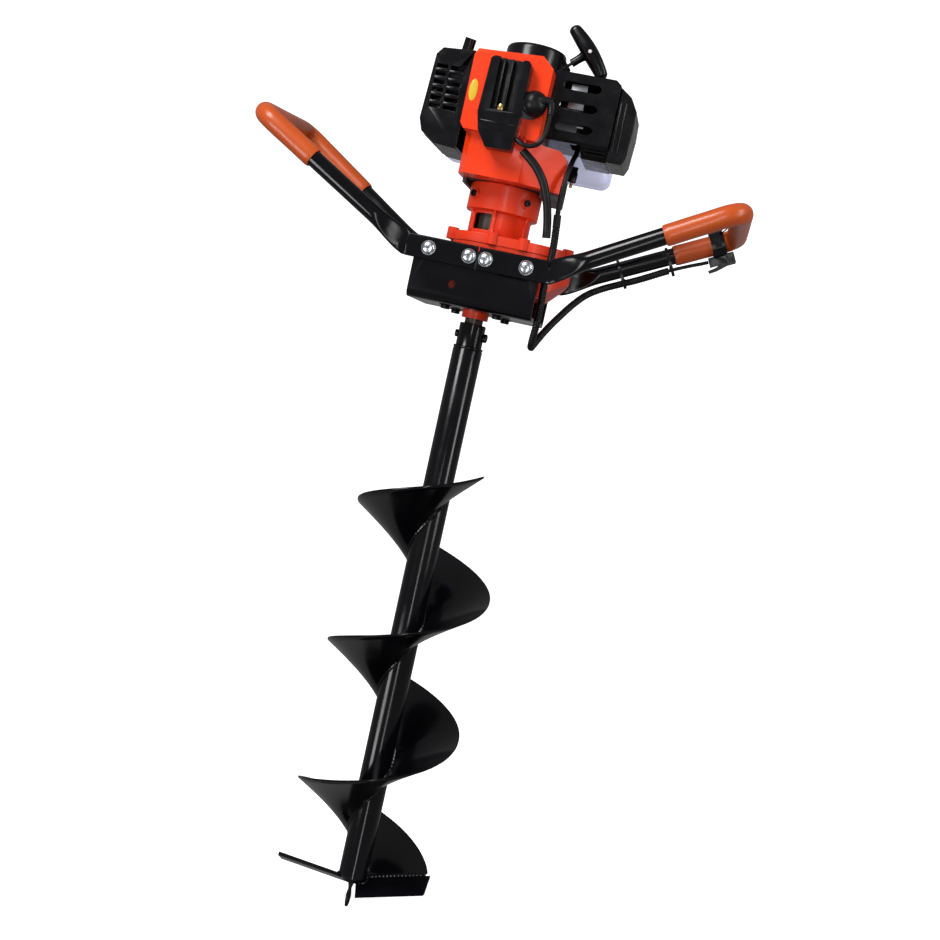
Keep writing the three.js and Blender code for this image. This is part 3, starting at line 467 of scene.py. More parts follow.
def make_stage():
    """A pale floor under the bit that curves up into a pale wall on every side."""
    flat, bend, sides = FLOOR["flat"], FLOOR["bend"], FLOOR["sides"]
    floor_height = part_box("pilot_point")[0].z * 1000 - FLOOR["gap"] + GRIP_HEIGHT
    profile = [(1, 0), (flat, 0)]
    for step in range(1, FLOOR["bend_steps"] + 1):
        angle = TURN / 4 * step / FLOOR["bend_steps"]
        profile.append((flat + bend * math.sin(angle), bend - bend * math.cos(angle)))
    profile.append((flat + bend, FLOOR["top"]))
    vertices = []
    for radius, height in profile:
        vertices += [polar(radius, step * TURN / sides, floor_height + height) for step in range(sides)]
    faces = [tuple(range(sides))]
    for here in range(0, (len(profile) - 1) * sides, sides):
        for j in range(sides):
            k = (j + 1) % sides
            faces.append((here + j, here + k, here + sides + k, here + sides + j))
    mesh = bpy.data.meshes.new("stage")
    mesh.from_pydata([at(*v) for v in vertices], [], faces)
    mesh.polygons.foreach_set("use_smooth", [True] * len(mesh.polygons))
    stage = linked("stage", mesh)
    pale = surface("pale_floor", (0.93,) * 3, (0.91,) * 3, (0.8, 0.9), bump=0.0, specular=0.1)
    mesh.materials.append(glowing(pale, (1, 1, 1), 0.8))
    stage.visible_glossy = False
    stage.visible_diffuse = False


def softbox(name, place, target, size, energy):
    """A rectangular light at a place in metres, aimed at a target."""
    light = bpy.data.lights.new(name, "AREA")
    light.shape = "RECTANGLE"
    light.size, light.size_y = size
    light.energy = energy
    lamp = linked(name, light)
    lamp.location = place
    aim = Vector(target) - Vector(place)
    lamp.rotation_mode = "QUATERNION"
    lamp.rotation_quaternion = aim.to_track_quat("-Z", "Y")


def make_light():
    """A dim even world, a key and a side light, a low fill and a narrow strip for the tube."""
    world = bpy.data.worlds.new("studio")
    world.use_nodes = True
    set_inputs(world.node_tree.nodes["Background"], {"Color": (1, 1, 1, 1), "Strength": 0.24})
    bpy.context.scene.world = world
    bpy.context.scene.view_settings.view_transform = "Standard"
    softbox("key", (-1.3, -1.9, 1.7), (0, 0, -0.1), (0.9, 1.4), 76)
    softbox("side", (2.1, -0.9, 0.9), (0, 0, -0.2), (0.5, 1.8), 26)
    softbox("low", (-1.3, -1.6, -0.9), (0, 0, -0.5), (0.8, 0.8), 20)
    softbox("strip", (0.42, -2.1, -0.75), (0, 0, -0.75), (0.22, 2.4), 13)


# ---- the bit ----
BIT = {"radius": 19.5, "socket": 17.2, "bore": 12.4, "top": -16, "step": -47, "bottom": -770,
       "wall": 3, "bolt": -31, "reach": 100, "first_reach": 88, "widening": 0.16, "pitch": 191,
       "rim": -158.5, "phase": 0.75, "cup": 48, "last_cup": 15, "last_drop": 9, "settling": 2.45,
       "sheet": 3, "start": -0.235, "end": -3.066, "cutter_angle": 18, "cutter_height": -776.5,
       "cutter_cone": 0.19}


def flight_point(turns, share, level):
    """A point of the flight: share runs from the tube to the rim, level through the sheet."""
    run = BIT["start"] - turns
    settle = smoothstep(run, BIT["settling"], BIT["start"] - BIT["end"])
    outer = lerp(BIT["first_reach"], BIT["reach"], smoothstep(run, 0, BIT["widening"]))
    radius = lerp(BIT["radius"] + 0.1, outer, share)
    angle = TURN * turns + BIT["phase"]
    height = BIT["rim"] + BIT["pitch"] * turns - BIT["last_drop"] * settle
    height -= lerp(BIT["cup"], BIT["last_cup"], settle) * (1 - share)
    return polar(radius, angle, height + level)


def auger_flight():
    """The spiral sheet with a softened rim, and the weld beads along its root."""
    steps, across, bead_steps = 330, 10, 420
    half = BIT["sheet"] / 2
    rim_start = 0.993
    section = [(j / across, half) for j in range(across)]
    section += [(rim_start, half), (1.0, half * 0.5), (1.0, -half * 0.5), (rim_start, -half)]
    section += [(j / across, -half) for j in range(across - 1, -1, -1)]
    rings = []
    for step in range(steps + 1):
        turns = lerp(BIT["start"], BIT["end"], step / steps)
        rings.append([flight_point(turns, share, level) for share, level in section])
    flight = skin("flight_sheet", rings, smooth_angle=40)
    finished(flight, ENAMEL, "black_paint", "auger_flight", body="bit")
    beads = []
    for name, level in (("bead_over", half + 1.2), ("bead_under", -half - 1.2)):
        path = [flight_point(lerp(BIT["start"] - 0.004, BIT["end"], step / bead_steps), 0.0, level)
                for step in range(bead_steps + 1)]
        beads.append(weld_bead(name, path, 2.3))
    finished(joined("flight_welds", beads), ENAMEL, "black_paint", body="bit")


def weld_bead(name, path, radius):
    """A row of overlapping puddles along the path."""
    puddle = 0.62
    rings = []
    for i, (point, side, up, travelled) in enumerate(stations(path)):
        size = radius * (0.82 + 0.18 * abs(math.sin(travelled * puddle)))
        end = smoothstep(min(i, len(path) - 1 - i), -1, 3)
        rings.append(ring_at(point, side, up, size * end, size * end, 2, 8))
    return skin(name, rings, smooth_angle=70)


def auger_tube():
    """The tube with its narrower socket, drilled for the cross bolt, and the weld between the two."""
    r, socket, bore = BIT["radius"], BIT["socket"], BIT["bore"]
    top, step, bottom, inner = BIT["top"], BIT["step"], BIT["bottom"], BIT["radius"] - BIT["wall"]
    profile = [(bore, step + 4), (bore, top - 0.8), (bore + 0.8, top), (socket - 1, top), (socket, top - 1),
               (socket, step + 1.5), (socket + 0.8, step + 0.2), (r - 0.8, step - 2.2), (r, step - 3.4),
               (r, bottom + 0.6), (r - 0.6, bottom), (inner, bottom), (inner, step + 4)]
    shell = turned_shell("tube_body", profile, (0, 0, 0), 64)
    bolt_hole = tube("tube_hole", [bolt_axis(-30), bolt_axis(30)], 4.4, smooth=False)
    shell = carved(shell, bolt_hole)
    finished(shell, ENAMEL, "black_paint", "auger_tube", body="bit")
    circle = [spoke(4 * i) * (socket + 0.6) + Z_AXIS * (step - 0.5) for i in range(91)]
    finished(weld_bead("socket_weld", circle, 2.0), ENAMEL, "black_paint", body="bit")


def bolt_axis(x):
    return Vector((x, 0, BIT["bolt"]))


def drive_bolt():
    head = hex_head("bolt_head", bolt_axis(-17.4), -X_AXIS, 5.2, 3.6)
    nut = hex_head("bolt_nut", bolt_axis(17.4), X_AXIS, 6, 4.4)
    shank = tube("bolt_shank", [bolt_axis(-18), bolt_axis(18)], 4, smooth=False)
    tip = lathe("bolt_tip", [(0, 0), (3.9, 0), (3.9, 2.2), (3.0, 3.2), (0, 3.2)], bolt_axis(19), X_AXIS, 20)
    finished(joined("drive_bolt_finished", [head, nut, shank, tip]), ENAMEL, "zinc_plate",
             "drive_bolt", body="bit")


def hex_head(name, origin, direction, radius, height):
    """A hexagon whose corners are turned off towards its face."""
    turn = Z_AXIS.rotation_difference(Vector(direction).normalized())
    sides, half_flat, roundness = 24, TURN / 12, 0.3
    rings = []
    for size, level in ((0.96, 0), (1, 0.4), (1, height - 1.1), (0.9, height - 0.1), (0.45, height)):
        ring = []
        for step in range(sides):
            angle = (step + 0.5) * TURN / sides
            flat = math.cos(half_flat) / math.cos((angle % (2 * half_flat)) - half_flat)
            turned_off = lerp(1, flat, roundness) * math.cos(half_flat) * 1.1
            reach = radius * size * (flat if size >= 0.96 else turned_off)
            ring.append(Vector(origin) + turn @ polar(reach, angle, level))
        rings.append(ring)
    return skin(name, rings, smooth_angle=28)


def cutters():
    for name in ("cutter_right", "cutter_left"):
        softened(name, ENAMEL, "black_paint", 0.5, 2, "bit")
    pilot_point()
    cutter_welds()
    softened("output_shaft", OILED, "steel", 0.3, 1, "bit")


def pilot_point():
    """A flat bar, twisted and drawn to a narrower end."""
    steps, twist_per_step, step_length = 32, 0.14, 1.29
    rings = []
    for step in range(steps + 1):
        side = polar(1, step * twist_per_step)
        up = Z_AXIS.cross(side)
        size = lerp(4.6, 3.0, step / steps)
        centre = Z_AXIS * (BIT["bottom"] - 3 - step_length * step)
        rings.append(ring_at(centre, side, up, size, size * 0.58, 3.2, 20))
    pilot = rounded(skin("pilot_twist", rings, smooth_angle=50), 0.5, 2, 60)
    finished(pilot, ENAMEL, "black_paint", "pilot_point", body="bit")


def cutter_welds():
    """Beads round the tube at both cutters and along the flight's end, and a plug in the tube's foot."""
    beads = []
    for side in (0, 180):
        path = []
        for swept in range(0, 56, 2):
            drop = 0.9 + 5 * math.sin(math.radians(swept))
            around = spoke(BIT["cutter_angle"] + side - swept)
            path.append(around * BIT["radius"] + Z_AXIS * (BIT["bottom"] - drop))
        beads.append(weld_bead("cutter_bead", path, 2.4))
    out = (spoke(BIT["cutter_angle"]) + Z_AXIS * BIT["cutter_cone"]).normalized()
    back = spoke(BIT["cutter_angle"] + 90)
    seam_start = Z_AXIS * (BIT["cutter_height"] + 3.2) + back * 0.7
    seam = [seam_start + out * reach for reach in range(20, 101)]
    beads.append(weld_bead("seam_bead", seam, 2.9))
    root = [(0, -766), (15, -766), (15.8, -771), (13.5, -777), (0, -778.5)]
    beads.append(lathe("root_weld", root, (0, 0, 0), Z_AXIS, 32))
    finished(joined("cutter_welds", beads), ENAMEL, "black_paint", body="bit")


# ---- bracket and screws ----
def bracket():
    softened("bracket_channel", ENAMEL, "black_paint", 0.9, 3)
    screws()
    for i in range(1, 5):
        floor_bolt(f"floor_bolt_{i}")


def floor_bolt(node):
    """A blackened hexagon bolt with its washer, under the bracket's floor."""
    low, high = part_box(node)
    x, y = (low.x + high.x) * 500, (low.y + high.y) * 500
    head = hex_head("head", (x, y, -0.3), -Z_AXIS, 6.5, 5.2)
    washer = lathe("washer", [(0, 0), (8.2, 0), (8.4, 0.4), (8.2, 0.9), (0, 0.9)], (x, y, -0.2), -Z_AXIS, 28)
    shank = lathe("shank", [(0, 0), (3.1, 0), (3.1, 7), (0, 7)], (x, y, -0.5), Z_AXIS, 16)
    finished(joined(node + "_finished", [head, washer, shank]), MOULDING, "zinc_plate", node)


def pan_head():
    """A cross-recessed pan head on its washer, along +Z from its seat."""
    dome = [(0, 5.6), (2.5, 5.5), (5.0, 5.1), (7.0, 4.2), (8.0, 3.0), (8.3, 1.6), (8.2, 0.9), (0, 0.9)]
    head = lathe("head", dome, (0, 0, 0), Z_AXIS, 40, 50)
    washer = lathe("washer", [(0, 0.9), (9.2, 0.9), (9.4, 0.5), (9.2, 0), (0, 0)], (0, 0, 0), Z_AXIS, 40)
    head = carved(head, recess_blade("blade_one", 0), recess_blade("blade_two", TURN / 4))
    return joined("pan_head", [head, washer])


def recess_blade(name, angle):
    """One wing pair of the cross recess, wider towards the head's face."""
    along = polar(1, angle)
    across = Z_AXIS.cross(along)
    rings = []
    for length, width, height in ((1.2, 0.7, 2.4), (2.9, 1.15, 4.6), (3.7, 1.4, 7.0)):
        rings.append([along * length * i + across * width * j + Z_AXIS * height
                      for i, j in ((-1, -1), (1, -1), (1, 1), (-1, 1))])
    return skin(name, rings)


def screws():
    head = pan_head()
    shank = lathe("shank", [(0, 0.4), (3.0, 0.4), (3.0, -17), (0, -17)], (0, 0, 0), Z_AXIS, 16)
    pattern = joined("screw_pattern", [head, shank])
    to_origin = Matrix.Translation(-at(0, 0, 0))
    for group, side in (("front", -1), ("back", 1)):
        for i, x in enumerate((-HOLES[1], -HOLES[0], *HOLES)):
            node = f"screw_{group}_{i + 1}"
            piece = linked(node + "_finished", pattern.data.copy())
            turn = Z_AXIS.rotation_difference(Y_AXIS * side)
            spin = Matrix.Rotation(0.5 + 0.7 * i, 4, "Z")
            seat = at(x, side * 76.1, HANDLE["bolt"])
            piece.data.transform(Matrix.Translation(seat) @ turn.to_matrix().to_4x4() @ spin @ to_origin)
            finished(piece, ZINC, "zinc_plate", node)
    bpy.data.objects.remove(pattern)


# ---- gearbox and clutch neck ----
def gearbox():
    softened("gearbox_housing", CASTING, "orange_paint", 1.2, 3)
    softened("gearbox_cover", CASTING, "orange_paint", 1.0, 3)
    neck()


def socket_screw(name, seat, direction, radius, height):
    """A cap screw head with a hexagon socket."""
    outer = [(0, 0), (radius, 0), (radius, height - 0.6), (radius - 0.6, height), (radius * 0.56, height),
             (radius * 0.52, height - 0.3), (radius * 0.52, height * 0.4), (0, height * 0.4)]
    return lathe(name, outer, seat, direction, 24)


def neck():
    """The round neck with its window and ribs, widening to a ring, and the ring's four screws."""
    profile = [(9, 97.3), (39.2, 97.3), (39.6, 97.8), (39.6, 125.5), (40.6, 127.4), (42.5, 128),
               (46, 128), (47, 129), (47, 161.5), (46, 162.8), (39.5, 162.8), (39, 162.3), (39, 134),
               (35.5, 134), (35.5, 101.3), (9, 101.3)]
    shell = turned_shell("neck_shell", profile, (ENGINE_X, 0, 0), 96)
    window = slab("window", ENGINE_X - 29, ENGINE_X - 5, -50, -20, 103, 124)
    rounded(window, 2.5, 3)
    shell = carved(shell, window)
    ribs = [neck_rib(spoke(degrees)) for degrees in (-92, -28, 36, 88, 152, 216)]
    finished(joined("neck_finished", [shell] + ribs), CASTING, "orange_paint", "clutch_housing")
    bosses = []
    heads = []
    for degrees in (-134, -46, 46, 134):
        out = spoke(degrees)
        seat = Vector((ENGINE_X, 0, 146)) + out * 44.5
        bosses.append(lathe("boss", [(0, 0), (7, 0), (6.6, 4.6), (6, 5.2), (0, 5.2)], seat, out, 28))
        heads.append(socket_screw("ring_screw", seat + out * 5.0, out, 4.4, 3.4))
    finished(joined("ring_bosses", bosses), CASTING, "orange_paint")
    finished(joined("ring_screws", heads), MOULDING, "zinc_plate")


def neck_rib(out):
    """An upright rib that leans out to the ring."""
    root = 38.6
    side = Z_AXIS.cross(out)
    rings = []
    for height, reach in ((100.4, 41.8), (102, 41.2), (118, 41.2), (125, 43.5), (129, 46.3)):
        base = Vector((ENGINE_X, 0, height))
        rings.append([base + out * root - side * 2, base + out * reach - side * 1.6,
                      base + out * reach + side * 1.6, base + out * root + side * 2])
    return rounded(skin("rib", rings), 0.5, 2)


# ---- engine covers ----
def engine_covers():
    softened("engine_shroud", ORANGE, "orange_paint", 1.6, 3)
    # painted shade: the crankcase takes the darkened alloy for the shade under the shroud
    softened("crankcase", SHADED_ALLOY, "cast_alloy", 0.8, 2)
    softened("coil_cover", MOULDING, "black_plastic", 1.6, 3)
    coil_cover_details()
    oval_label()


def coil_cover_details():
    """Two upright ribs, the lip below them and the brass screw between them."""
    ribs = []
    for x in (-12.6, -2.5):
        rib = slab("rib", x - 0.9, x + 0.9, -106.0, -97.5, 243, 303)
        ribs.append(rounded(rib, 0.7, 2))
    lip = slab("lip", -28, 18, -106, -104.3, 224, 226)
    ribs.append(rounded(lip, 0.5, 2))
    finished(joined("coil_cover_ribs", ribs), MOULDING, "black_plastic")
    screw = lathe("coil_screw", [(0, 2.8), (2.2, 2.7), (4.0, 2.0), (4.8, 0.6), (4.8, 0), (0, 0)],
                  (-7, -98.4, 245), -Y_AXIS, 28)
    slot = slab("slot", -11, -3, -103, -100.2, 244.5, 245.5)
    finished(carved(screw, slot), BRASS, "zinc_plate")


def oval_label():
    """A blank oval label on the shroud's front, where such covers carry one."""
    middle_x, middle_z, half_width, half_height, sides = -47.2, 262, 5.2, 13.5, 48
    rings = []
    for scale, depth in ((1.0, -88.05), (1.0, -88.4), (0.96, -88.5), (0.3, -88.5)):
        ring = []
        for step in range(sides):
            angle = TURN * step / sides
            ring.append(Vector((middle_x + half_width * scale * math.cos(angle), depth,
                                middle_z + half_height * scale * math.sin(angle))))
        rings.append(ring)
    finished(skin("blank_label", rings), LABEL, "orange_paint")


def muffler():
    softened("muffler_guard", MOULDING, "black_plastic", 1.6, 3)
    softened("muffler", MOULDING, "steel", 0.8, 2)
    finished(joined("guard_ribs", corner_ribs() + louvres()), MOULDING, "black_plastic")


def corner_ribs():
    """Fine ribs across the guard's two slanted lower faces."""
    edge = [(-113.5, 222), (-108, 206.5), (-89, 194)]
    ribs = []
    for (x0, z0), (x1, z1) in zip(edge, edge[1:]):
        for share in (0.2, 0.5, 0.8):
            x, z = lerp(x0, x1, share), lerp(z0, z1, share)
            ribs.append(tube("rib", [(x, -52, z), (x, 24, z)], 0.8, 10, 6))
    return ribs


def louvres():
    """Two columns of five bars over the guard's slots."""
    rows, spacing, top, half_height = 5, 10, 285, 1.7
    bars = []
    for x0, x1 in ((-105, -91), (-87, -70)):
        for row in range(rows):
            height = top - row * spacing
            bar = slab("louvre", x0 - 1, x1 + 1, -61.4, -58.4, height - half_height, height + half_height)
            bars.append(rounded(bar, 0.8, 3))
    return bars


def intake_side():
    softened("air_shroud", MOULDING, "black_plastic", 1.8, 3)
    softened("filter_cap", MOULDING, "black_plastic", 1.6, 3)
    # painted shade: the carburettor takes the darkened alloy for the shade behind the duct's slots
    softened("carburettor", SHADED_ALLOY, "cast_alloy", 0.8, 2)
    filter_ribs()
    intake_plate()
    fuel_tap()


def filter_ribs():
    """Upright ribs on the filter's cap and fine ribs on the duct's bevel."""
    ribs = []
    for x in (132.6, 139.0):
        ribs.append(rounded(slab("rib", x - 1.3, x + 1.3, -57.6, -52, 224, 286), 1.1, 3))
    for drop in (0, 4):
        front, z = -52 - 0.7 * drop, 217.5 + drop
        ribs.append(tube("rib", [(100, front, z), (124, front, z)], 0.9, 10, 6))
    finished(joined("filter_ribs", ribs), MOULDING, "black_plastic")


def intake_plate():
    """The pale plate behind the duct's upper slot and two ridges behind the others."""
    inner = [rounded(slab("heat_plate", 67, 87, -54, -52.5, 268, 299), 0.5, 2)]
    for x0, z in ((70, 252), (84, 247)):
        inner.append(tube("plate_ridge", [(x0, -55.5, z), (x0 + 8, -55.5, z)], 1.5, 12, 8))
    finished(joined("intake_plate", inner), ALLOY, "cast_alloy")


def fuel_tap():
    """The fuel tap's body under the carburettor, with its brass fitting."""
    aim = (0.05, 0, 1)
    tap = lathe("tap_body", [(0, 0), (4.6, 0), (5.4, 1), (5.4, 12), (4.2, 14), (4.2, 20), (0, 20)],
                (86, -4, 187), aim, 24)
    finished(tap, MOULDING, "black_plastic")
    fitting = lathe("brass_fitting", [(0, 0), (2.2, 0), (2.4, 2), (1.8, 3), (1.8, 7), (0, 7)],
                    (86, -4, 180.4), aim, 24)
    finished(fitting, BRASS, "cast_alloy")


# x, y and z, each from low to high.
TANK_BOX = (-103, 126, 48.2, 107.8, 199, 252)
TANK_CORNER = 13
FILLER = Vector((100, 78, 0))


def tank_outline():
    """The moulding seam round the middle of the tank, back to its first point."""
    r, (x0, x1, _, _, z0, z1) = TANK_CORNER, TANK_BOX
    centres = ((x1 - r, z0 + r), (x1 - r, z1 - r), (x0 + r, z1 - r), (x0 + r, z0 + r))
    points = []
    for quarter, (x, z) in enumerate(centres):
        for step in range(7):
            angle = (quarter - 1 + step / 6) * TURN / 4
            points.append((x + r * math.cos(angle), FILLER.y, z + r * math.sin(angle)))
    return points + points[:1]


def fuel_tank():
    body = rounded(slab("tank_body", *TANK_BOX), TANK_CORNER, 7)
    seam = tube("tank_seam", tank_outline(), 0.8, 8, smooth=False)
    neck = lathe("filler_neck", [(10, 249), (14, 249), (14.2, 253), (14.2, 258), (11, 258), (11, 249)],
                 FILLER, Z_AXIS, 48)
    finished(joined("fuel_tank_finished", [body, seam, neck]), TANK, "tank_plastic", "fuel_tank")
    fuel_cap()


def fuel_cap():
    """A screw cap with a knurled side."""
    ridges, depth, side_radius = 16, 0.9, 17.2

    def knurl(angle, radius):
        return -depth * (0.5 + 0.5 * math.cos(ridges * angle)) if radius > side_radius else 0

    cap = lathe("fuel_cap_finished",
                [(0, 262), (14.4, 262), (14.4, 253.6), (17.6, 253.6), (18, 254.4), (18, 265),
                 (16.8, 267.4), (15, 268), (11, 267.4), (9.5, 266.9), (0, 266.6)],
                FILLER, Z_AXIS, 96, 40, knurl)
    finished(cap, MOULDING, "black_plastic", "fuel_cap", body="tank_cap")


# ---- starter ----
PULL = Vector((math.cos(math.radians(42)), 0, math.sin(math.radians(42))))
ROPE_EXIT = Vector((42, 0, 326))


def starter():
    recoil_cup()
    pull_handle()
    starter_rope()


def recoil_cup():
    """The starter's turned cup with three screw ears and the spout the rope leaves by."""
    profile = [(0, 345), (30, 345), (31, 344.2), (34.4, 344), (36.8, 343), (38.4, 341), (39, 338),
               (39, 322), (39.4, 321), (39.4, 317), (39, 316), (39, 295.5), (38.4, 294.4), (36, 294.4),
               (36, 336), (34, 340), (31, 341.6), (0, 342)]
    cup = lathe("recoil_cup", profile, (ENGINE_X, 0, 0), Z_AXIS, 80)
    ears = []
    for degrees in (-60, 60, 180):
        seat = Vector((ENGINE_X, 0, 295.5)) + spoke(degrees) * 36.5
        ears.append(lathe("ear", [(0, 0), (5.2, 0), (5.2, 9), (4.4, 10), (0, 10)], seat, Z_AXIS, 24))
    spout = lathe("spout", [(4.6, -4), (8.4, -4), (8, 6), (7.4, 8.4), (6.4, 9), (5.2, 8.8), (4.6, 8)],
                  ROPE_EXIT, PULL, 40)
    finished(joined("recoil_finished", [cup, spout] + ears), MOULDING, "black_plastic", "recoil_housing")


def starter_rope():
    """The seen end of the rope: a short straight cord from inside the spout to the handle's stem."""
    inside, length, steps = 6, 22, 60
    rope_points = [ROPE_EXIT + PULL * (-inside + length * step / steps) for step in range(steps + 1)]
    rope = tube("rope_finished", rope_points, 2.0, 14, smooth=False)
    rope.data.materials.append(RUBBER)
    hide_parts("starter_rope")
    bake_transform(rope)


def pull_handle():
    """A T handle: a waisted bar that bows back a little at its ends, on a short stem."""
    steps, half_length, thickness, bow = 40, 39, 10.4, 2.2
    across = Vector((PULL.z, 0, -PULL.x))
    middle = ROPE_EXIT + PULL * 41
    rings = []
    for step in range(steps + 1):
        share = -1 + 2 * step / steps
        size = thickness * (1 - 0.30 * abs(share) ** 1.8) * (1 - smoothstep(abs(share), 0.9, 1.06)) ** 0.5
        centre = middle - PULL * (bow * share * share) + across * half_length * share
        rings.append(ring_at(centre, Y_AXIS, PULL, size * 1.08, size, 2.5, 28))
    grip = skin("pull_grip", rings, smooth_angle=50)
    stem = lathe("pull_stem", [(0, 14), (4.6, 14), (5.4, 14.8), (5.2, 22), (5.6, 28), (7, 33), (8.4, 37),
                               (8.4, 41), (0, 41)], ROPE_EXIT, PULL, 40)
    finished(joined("pull_handle_finished", [grip, stem]), MOULDING, "black_plastic",
             "starter_handle", body="pull_handle")
    # painted glint: a small white disc on the grip's face stands in for a glint of light
    glint_disc = lathe("pull_glint_disc", [(0, 0.5), (1.8, 0.4), (2.4, 0), (2.4, -1), (0, -1)],
                   middle - Y_AXIS * 11.1 + across * 2, -Y_AXIS, 28)
    finished(glint_disc, PAINTED_GLINT, "black_plastic", body="pull_handle")


# ---- plug, leads ----
PLUG_BASE = Vector((21.5, -77, 253))
PLUG_AIM = Vector((0.5, -0.846, 0.185)).normalized()


def plug_boot():
    """The rubber cap on the plug and its elbow, which hands over to the lead."""
    boot = lathe("boot_dome",
                 [(0, 18), (15.2, 18), (16, 19.4), (16, 22), (15, 23.2), (15, 24.6), (15.4, 25.6),
                  (14.4, 29), (12, 33), (8.6, 35.8), (4, 36.8), (0, 37)], PLUG_BASE, PLUG_AIM, 48, 60)
    start = PLUG_BASE + PLUG_AIM * 27
    route = [start, start + PLUG_AIM * 3 + Vector((6, 0, 2)), (42, -98.6, 261), (47.5, -97, 262.6),
             (52.4, -96, 260), (54.2, -96, 254), (54.5, -96, 247)]
    elbow = tube("boot_elbow", route, lambda s: 6.6 - 0.06 * s + 0.25 * math.sin(s * 2.1), 24, 0.7)
    finished(joined("plug_boot_finished", [boot, elbow]), RUBBER, "black_rubber", "plug_boot")


def ignition_lead():
    """The lead from the elbow round to under the coil cover."""
    lead = tube("ignition_lead_finished",
                [(47, -97.2, 262.2), (50.9, -96.3, 262.7), (53.2, -96, 260), (54.3, -96, 254),
                 (54.5, -96, 243), (54, -96, 231), (52, -96.5, 219), (47.5, -98, 210.5),
                 (40, -100, 206), (32, -101, 205.5), (25, -100.5, 208), (20, -99, 211)], 2.9, 18, 1.5)
    finished(lead, RUBBER, "black_rubber", "ignition_lead")


def kill_wire_sleeve():
    """A rubber sleeve, open at its lower end."""
    route = [(30, -92, 200), (38, -92, 194), (48, -91, 186), (57, -90, 176), (64, -88, 165),
             (69, -85, 153), (73, -81, 140), (76, -77, 126), (78, -74, 113), (79, -73, 104)]
    spacing = 1.5
    sleeve = tube("sleeve", route, 5.2, 26, spacing)
    wall = curve_through(route, spacing)
    way = (wall[-1] - wall[-4]).normalized()
    bore = tube("sleeve_bore", [wall[-1] - way * 6, wall[-1] + way * 3], 4.1, 24, smooth=False)
    finished(carved(sleeve, bore), RUBBER, "black_rubber", "kill_wire_sleeve")


def stop_wires():
    """The two red wires between the coil cover and the sleeve."""
    routes = (((22, -86, 219), (24, -91, 213), (29, -94, 206), (33, -92.5, 199), (38, -92, 195)),
              ((27, -85, 220), (29, -91, 214), (32, -94.4, 207), (35, -93, 199), (39, -91, 194)))
    wires = [tube("wire", route, 1.1, 12, 1) for route in routes]
    finished(joined("stop_wires", wires), RED, "black_rubber")


# ---- handles, grips, throttle ----
STRIP_Y = 72.9
HANDLE = {"radius": 11, "reach": 306, "spread": 96, "root": 93, "corner": 20, "bolt": 63,
          "strip_end": 87, "bend_start": 278}
HOLES = (10.7, 63)
LOOPS = {"left": {"side": -1, "slope": 30.3, "twist": 13, "grip": (227, 204)},
         "right": {"side": 1, "slope": 28.4, "twist": -8, "grip": (221, 230)}}


def spread_at(x):
    """How far the loop's centre line is from the bracket's middle plane."""
    share = max(0.0, x - HANDLE["root"]) / (HANDLE["reach"] - HANDLE["root"])
    return STRIP_Y + (HANDLE["spread"] - STRIP_Y) * math.sqrt(share)


def height_at(loop, x, y):
    """The centre line's height: the loop rises outwards and is twisted a little on its bolts."""
    out = max(0.0, x - HANDLE["root"])
    far = (y / HANDLE["spread"] + 1) / 2
    twisted = far * loop["twist"] * out / (HANDLE["reach"] - HANDLE["root"])
    return HANDLE["bolt"] + out * math.tan(math.radians(loop["slope"])) + twisted


def handle_path(loop):
    """The handle's centre line, near strip to far strip, a point every few millimetres."""
    bend_steps, end_steps = 12, 16
    xs = [1, 40, 80, *range(HANDLE["strip_end"], HANDLE["bend_start"], 3)]
    half = [(x, spread_at(x)) for x in xs]
    bend = HANDLE["reach"] - HANDLE["corner"]
    for step in range(bend_steps + 1):
        angle = step * TURN / 4 / bend_steps
        half.append((bend + HANDLE["corner"] * math.sin(angle),
                     spread_at(bend) - HANDLE["corner"] * (1 - math.cos(angle))))
    row = [(x, -y) for x, y in half]
    end_y = half[-1][1]
    row += [(HANDLE["reach"], -end_y + 2 * end_y * step / end_steps) for step in range(1, end_steps)]
    row += half[::-1]
    return [Vector((loop["side"] * x, y, height_at(loop, x, y))) for x, y in row]


def upright_frames(points):
    """For each point, the level direction across the path and the one above it."""
    pairs = []
    for ahead in headings(points):
        across = ahead.cross(Z_AXIS).normalized()
        pairs.append((across, across.cross(ahead).normalized()))
    return pairs


def handle(name, loop):
    """A tube pressed flat at both ends, with a dented stretch where it opens, drilled for the screws."""
    strip_half_width, strip_half_height, dent = 2.6, 14.4, 0.34
    path = handle_path(loop)
    rings = []
    for point, (across, up) in zip(path, upright_frames(path)):
        opened = smoothstep(abs(point.x), HANDLE["root"] + 4, HANDLE["root"] + 46)
        crease = math.sin(math.pi * opened) if 0 < opened < 1 else 0
        rings.append(ring_at(point, across, up, lerp(strip_half_width, HANDLE["radius"], opened),
                             lerp(strip_half_height, HANDLE["radius"], opened), lerp(5, 2, opened), 36,
                             pinch=dent * crease))
    body = skin(f"{name}_tube", rings, smooth_angle=50)
    holes = []
    for hole in HOLES:
        x, z = loop["side"] * hole, HANDLE["bolt"]
        holes.append(tube("hole", [(x, -84, z), (x, 84, z)], 3.6, 20, smooth=False))
    finished(carved(body, *holes), ENAMEL, "black_paint", name)


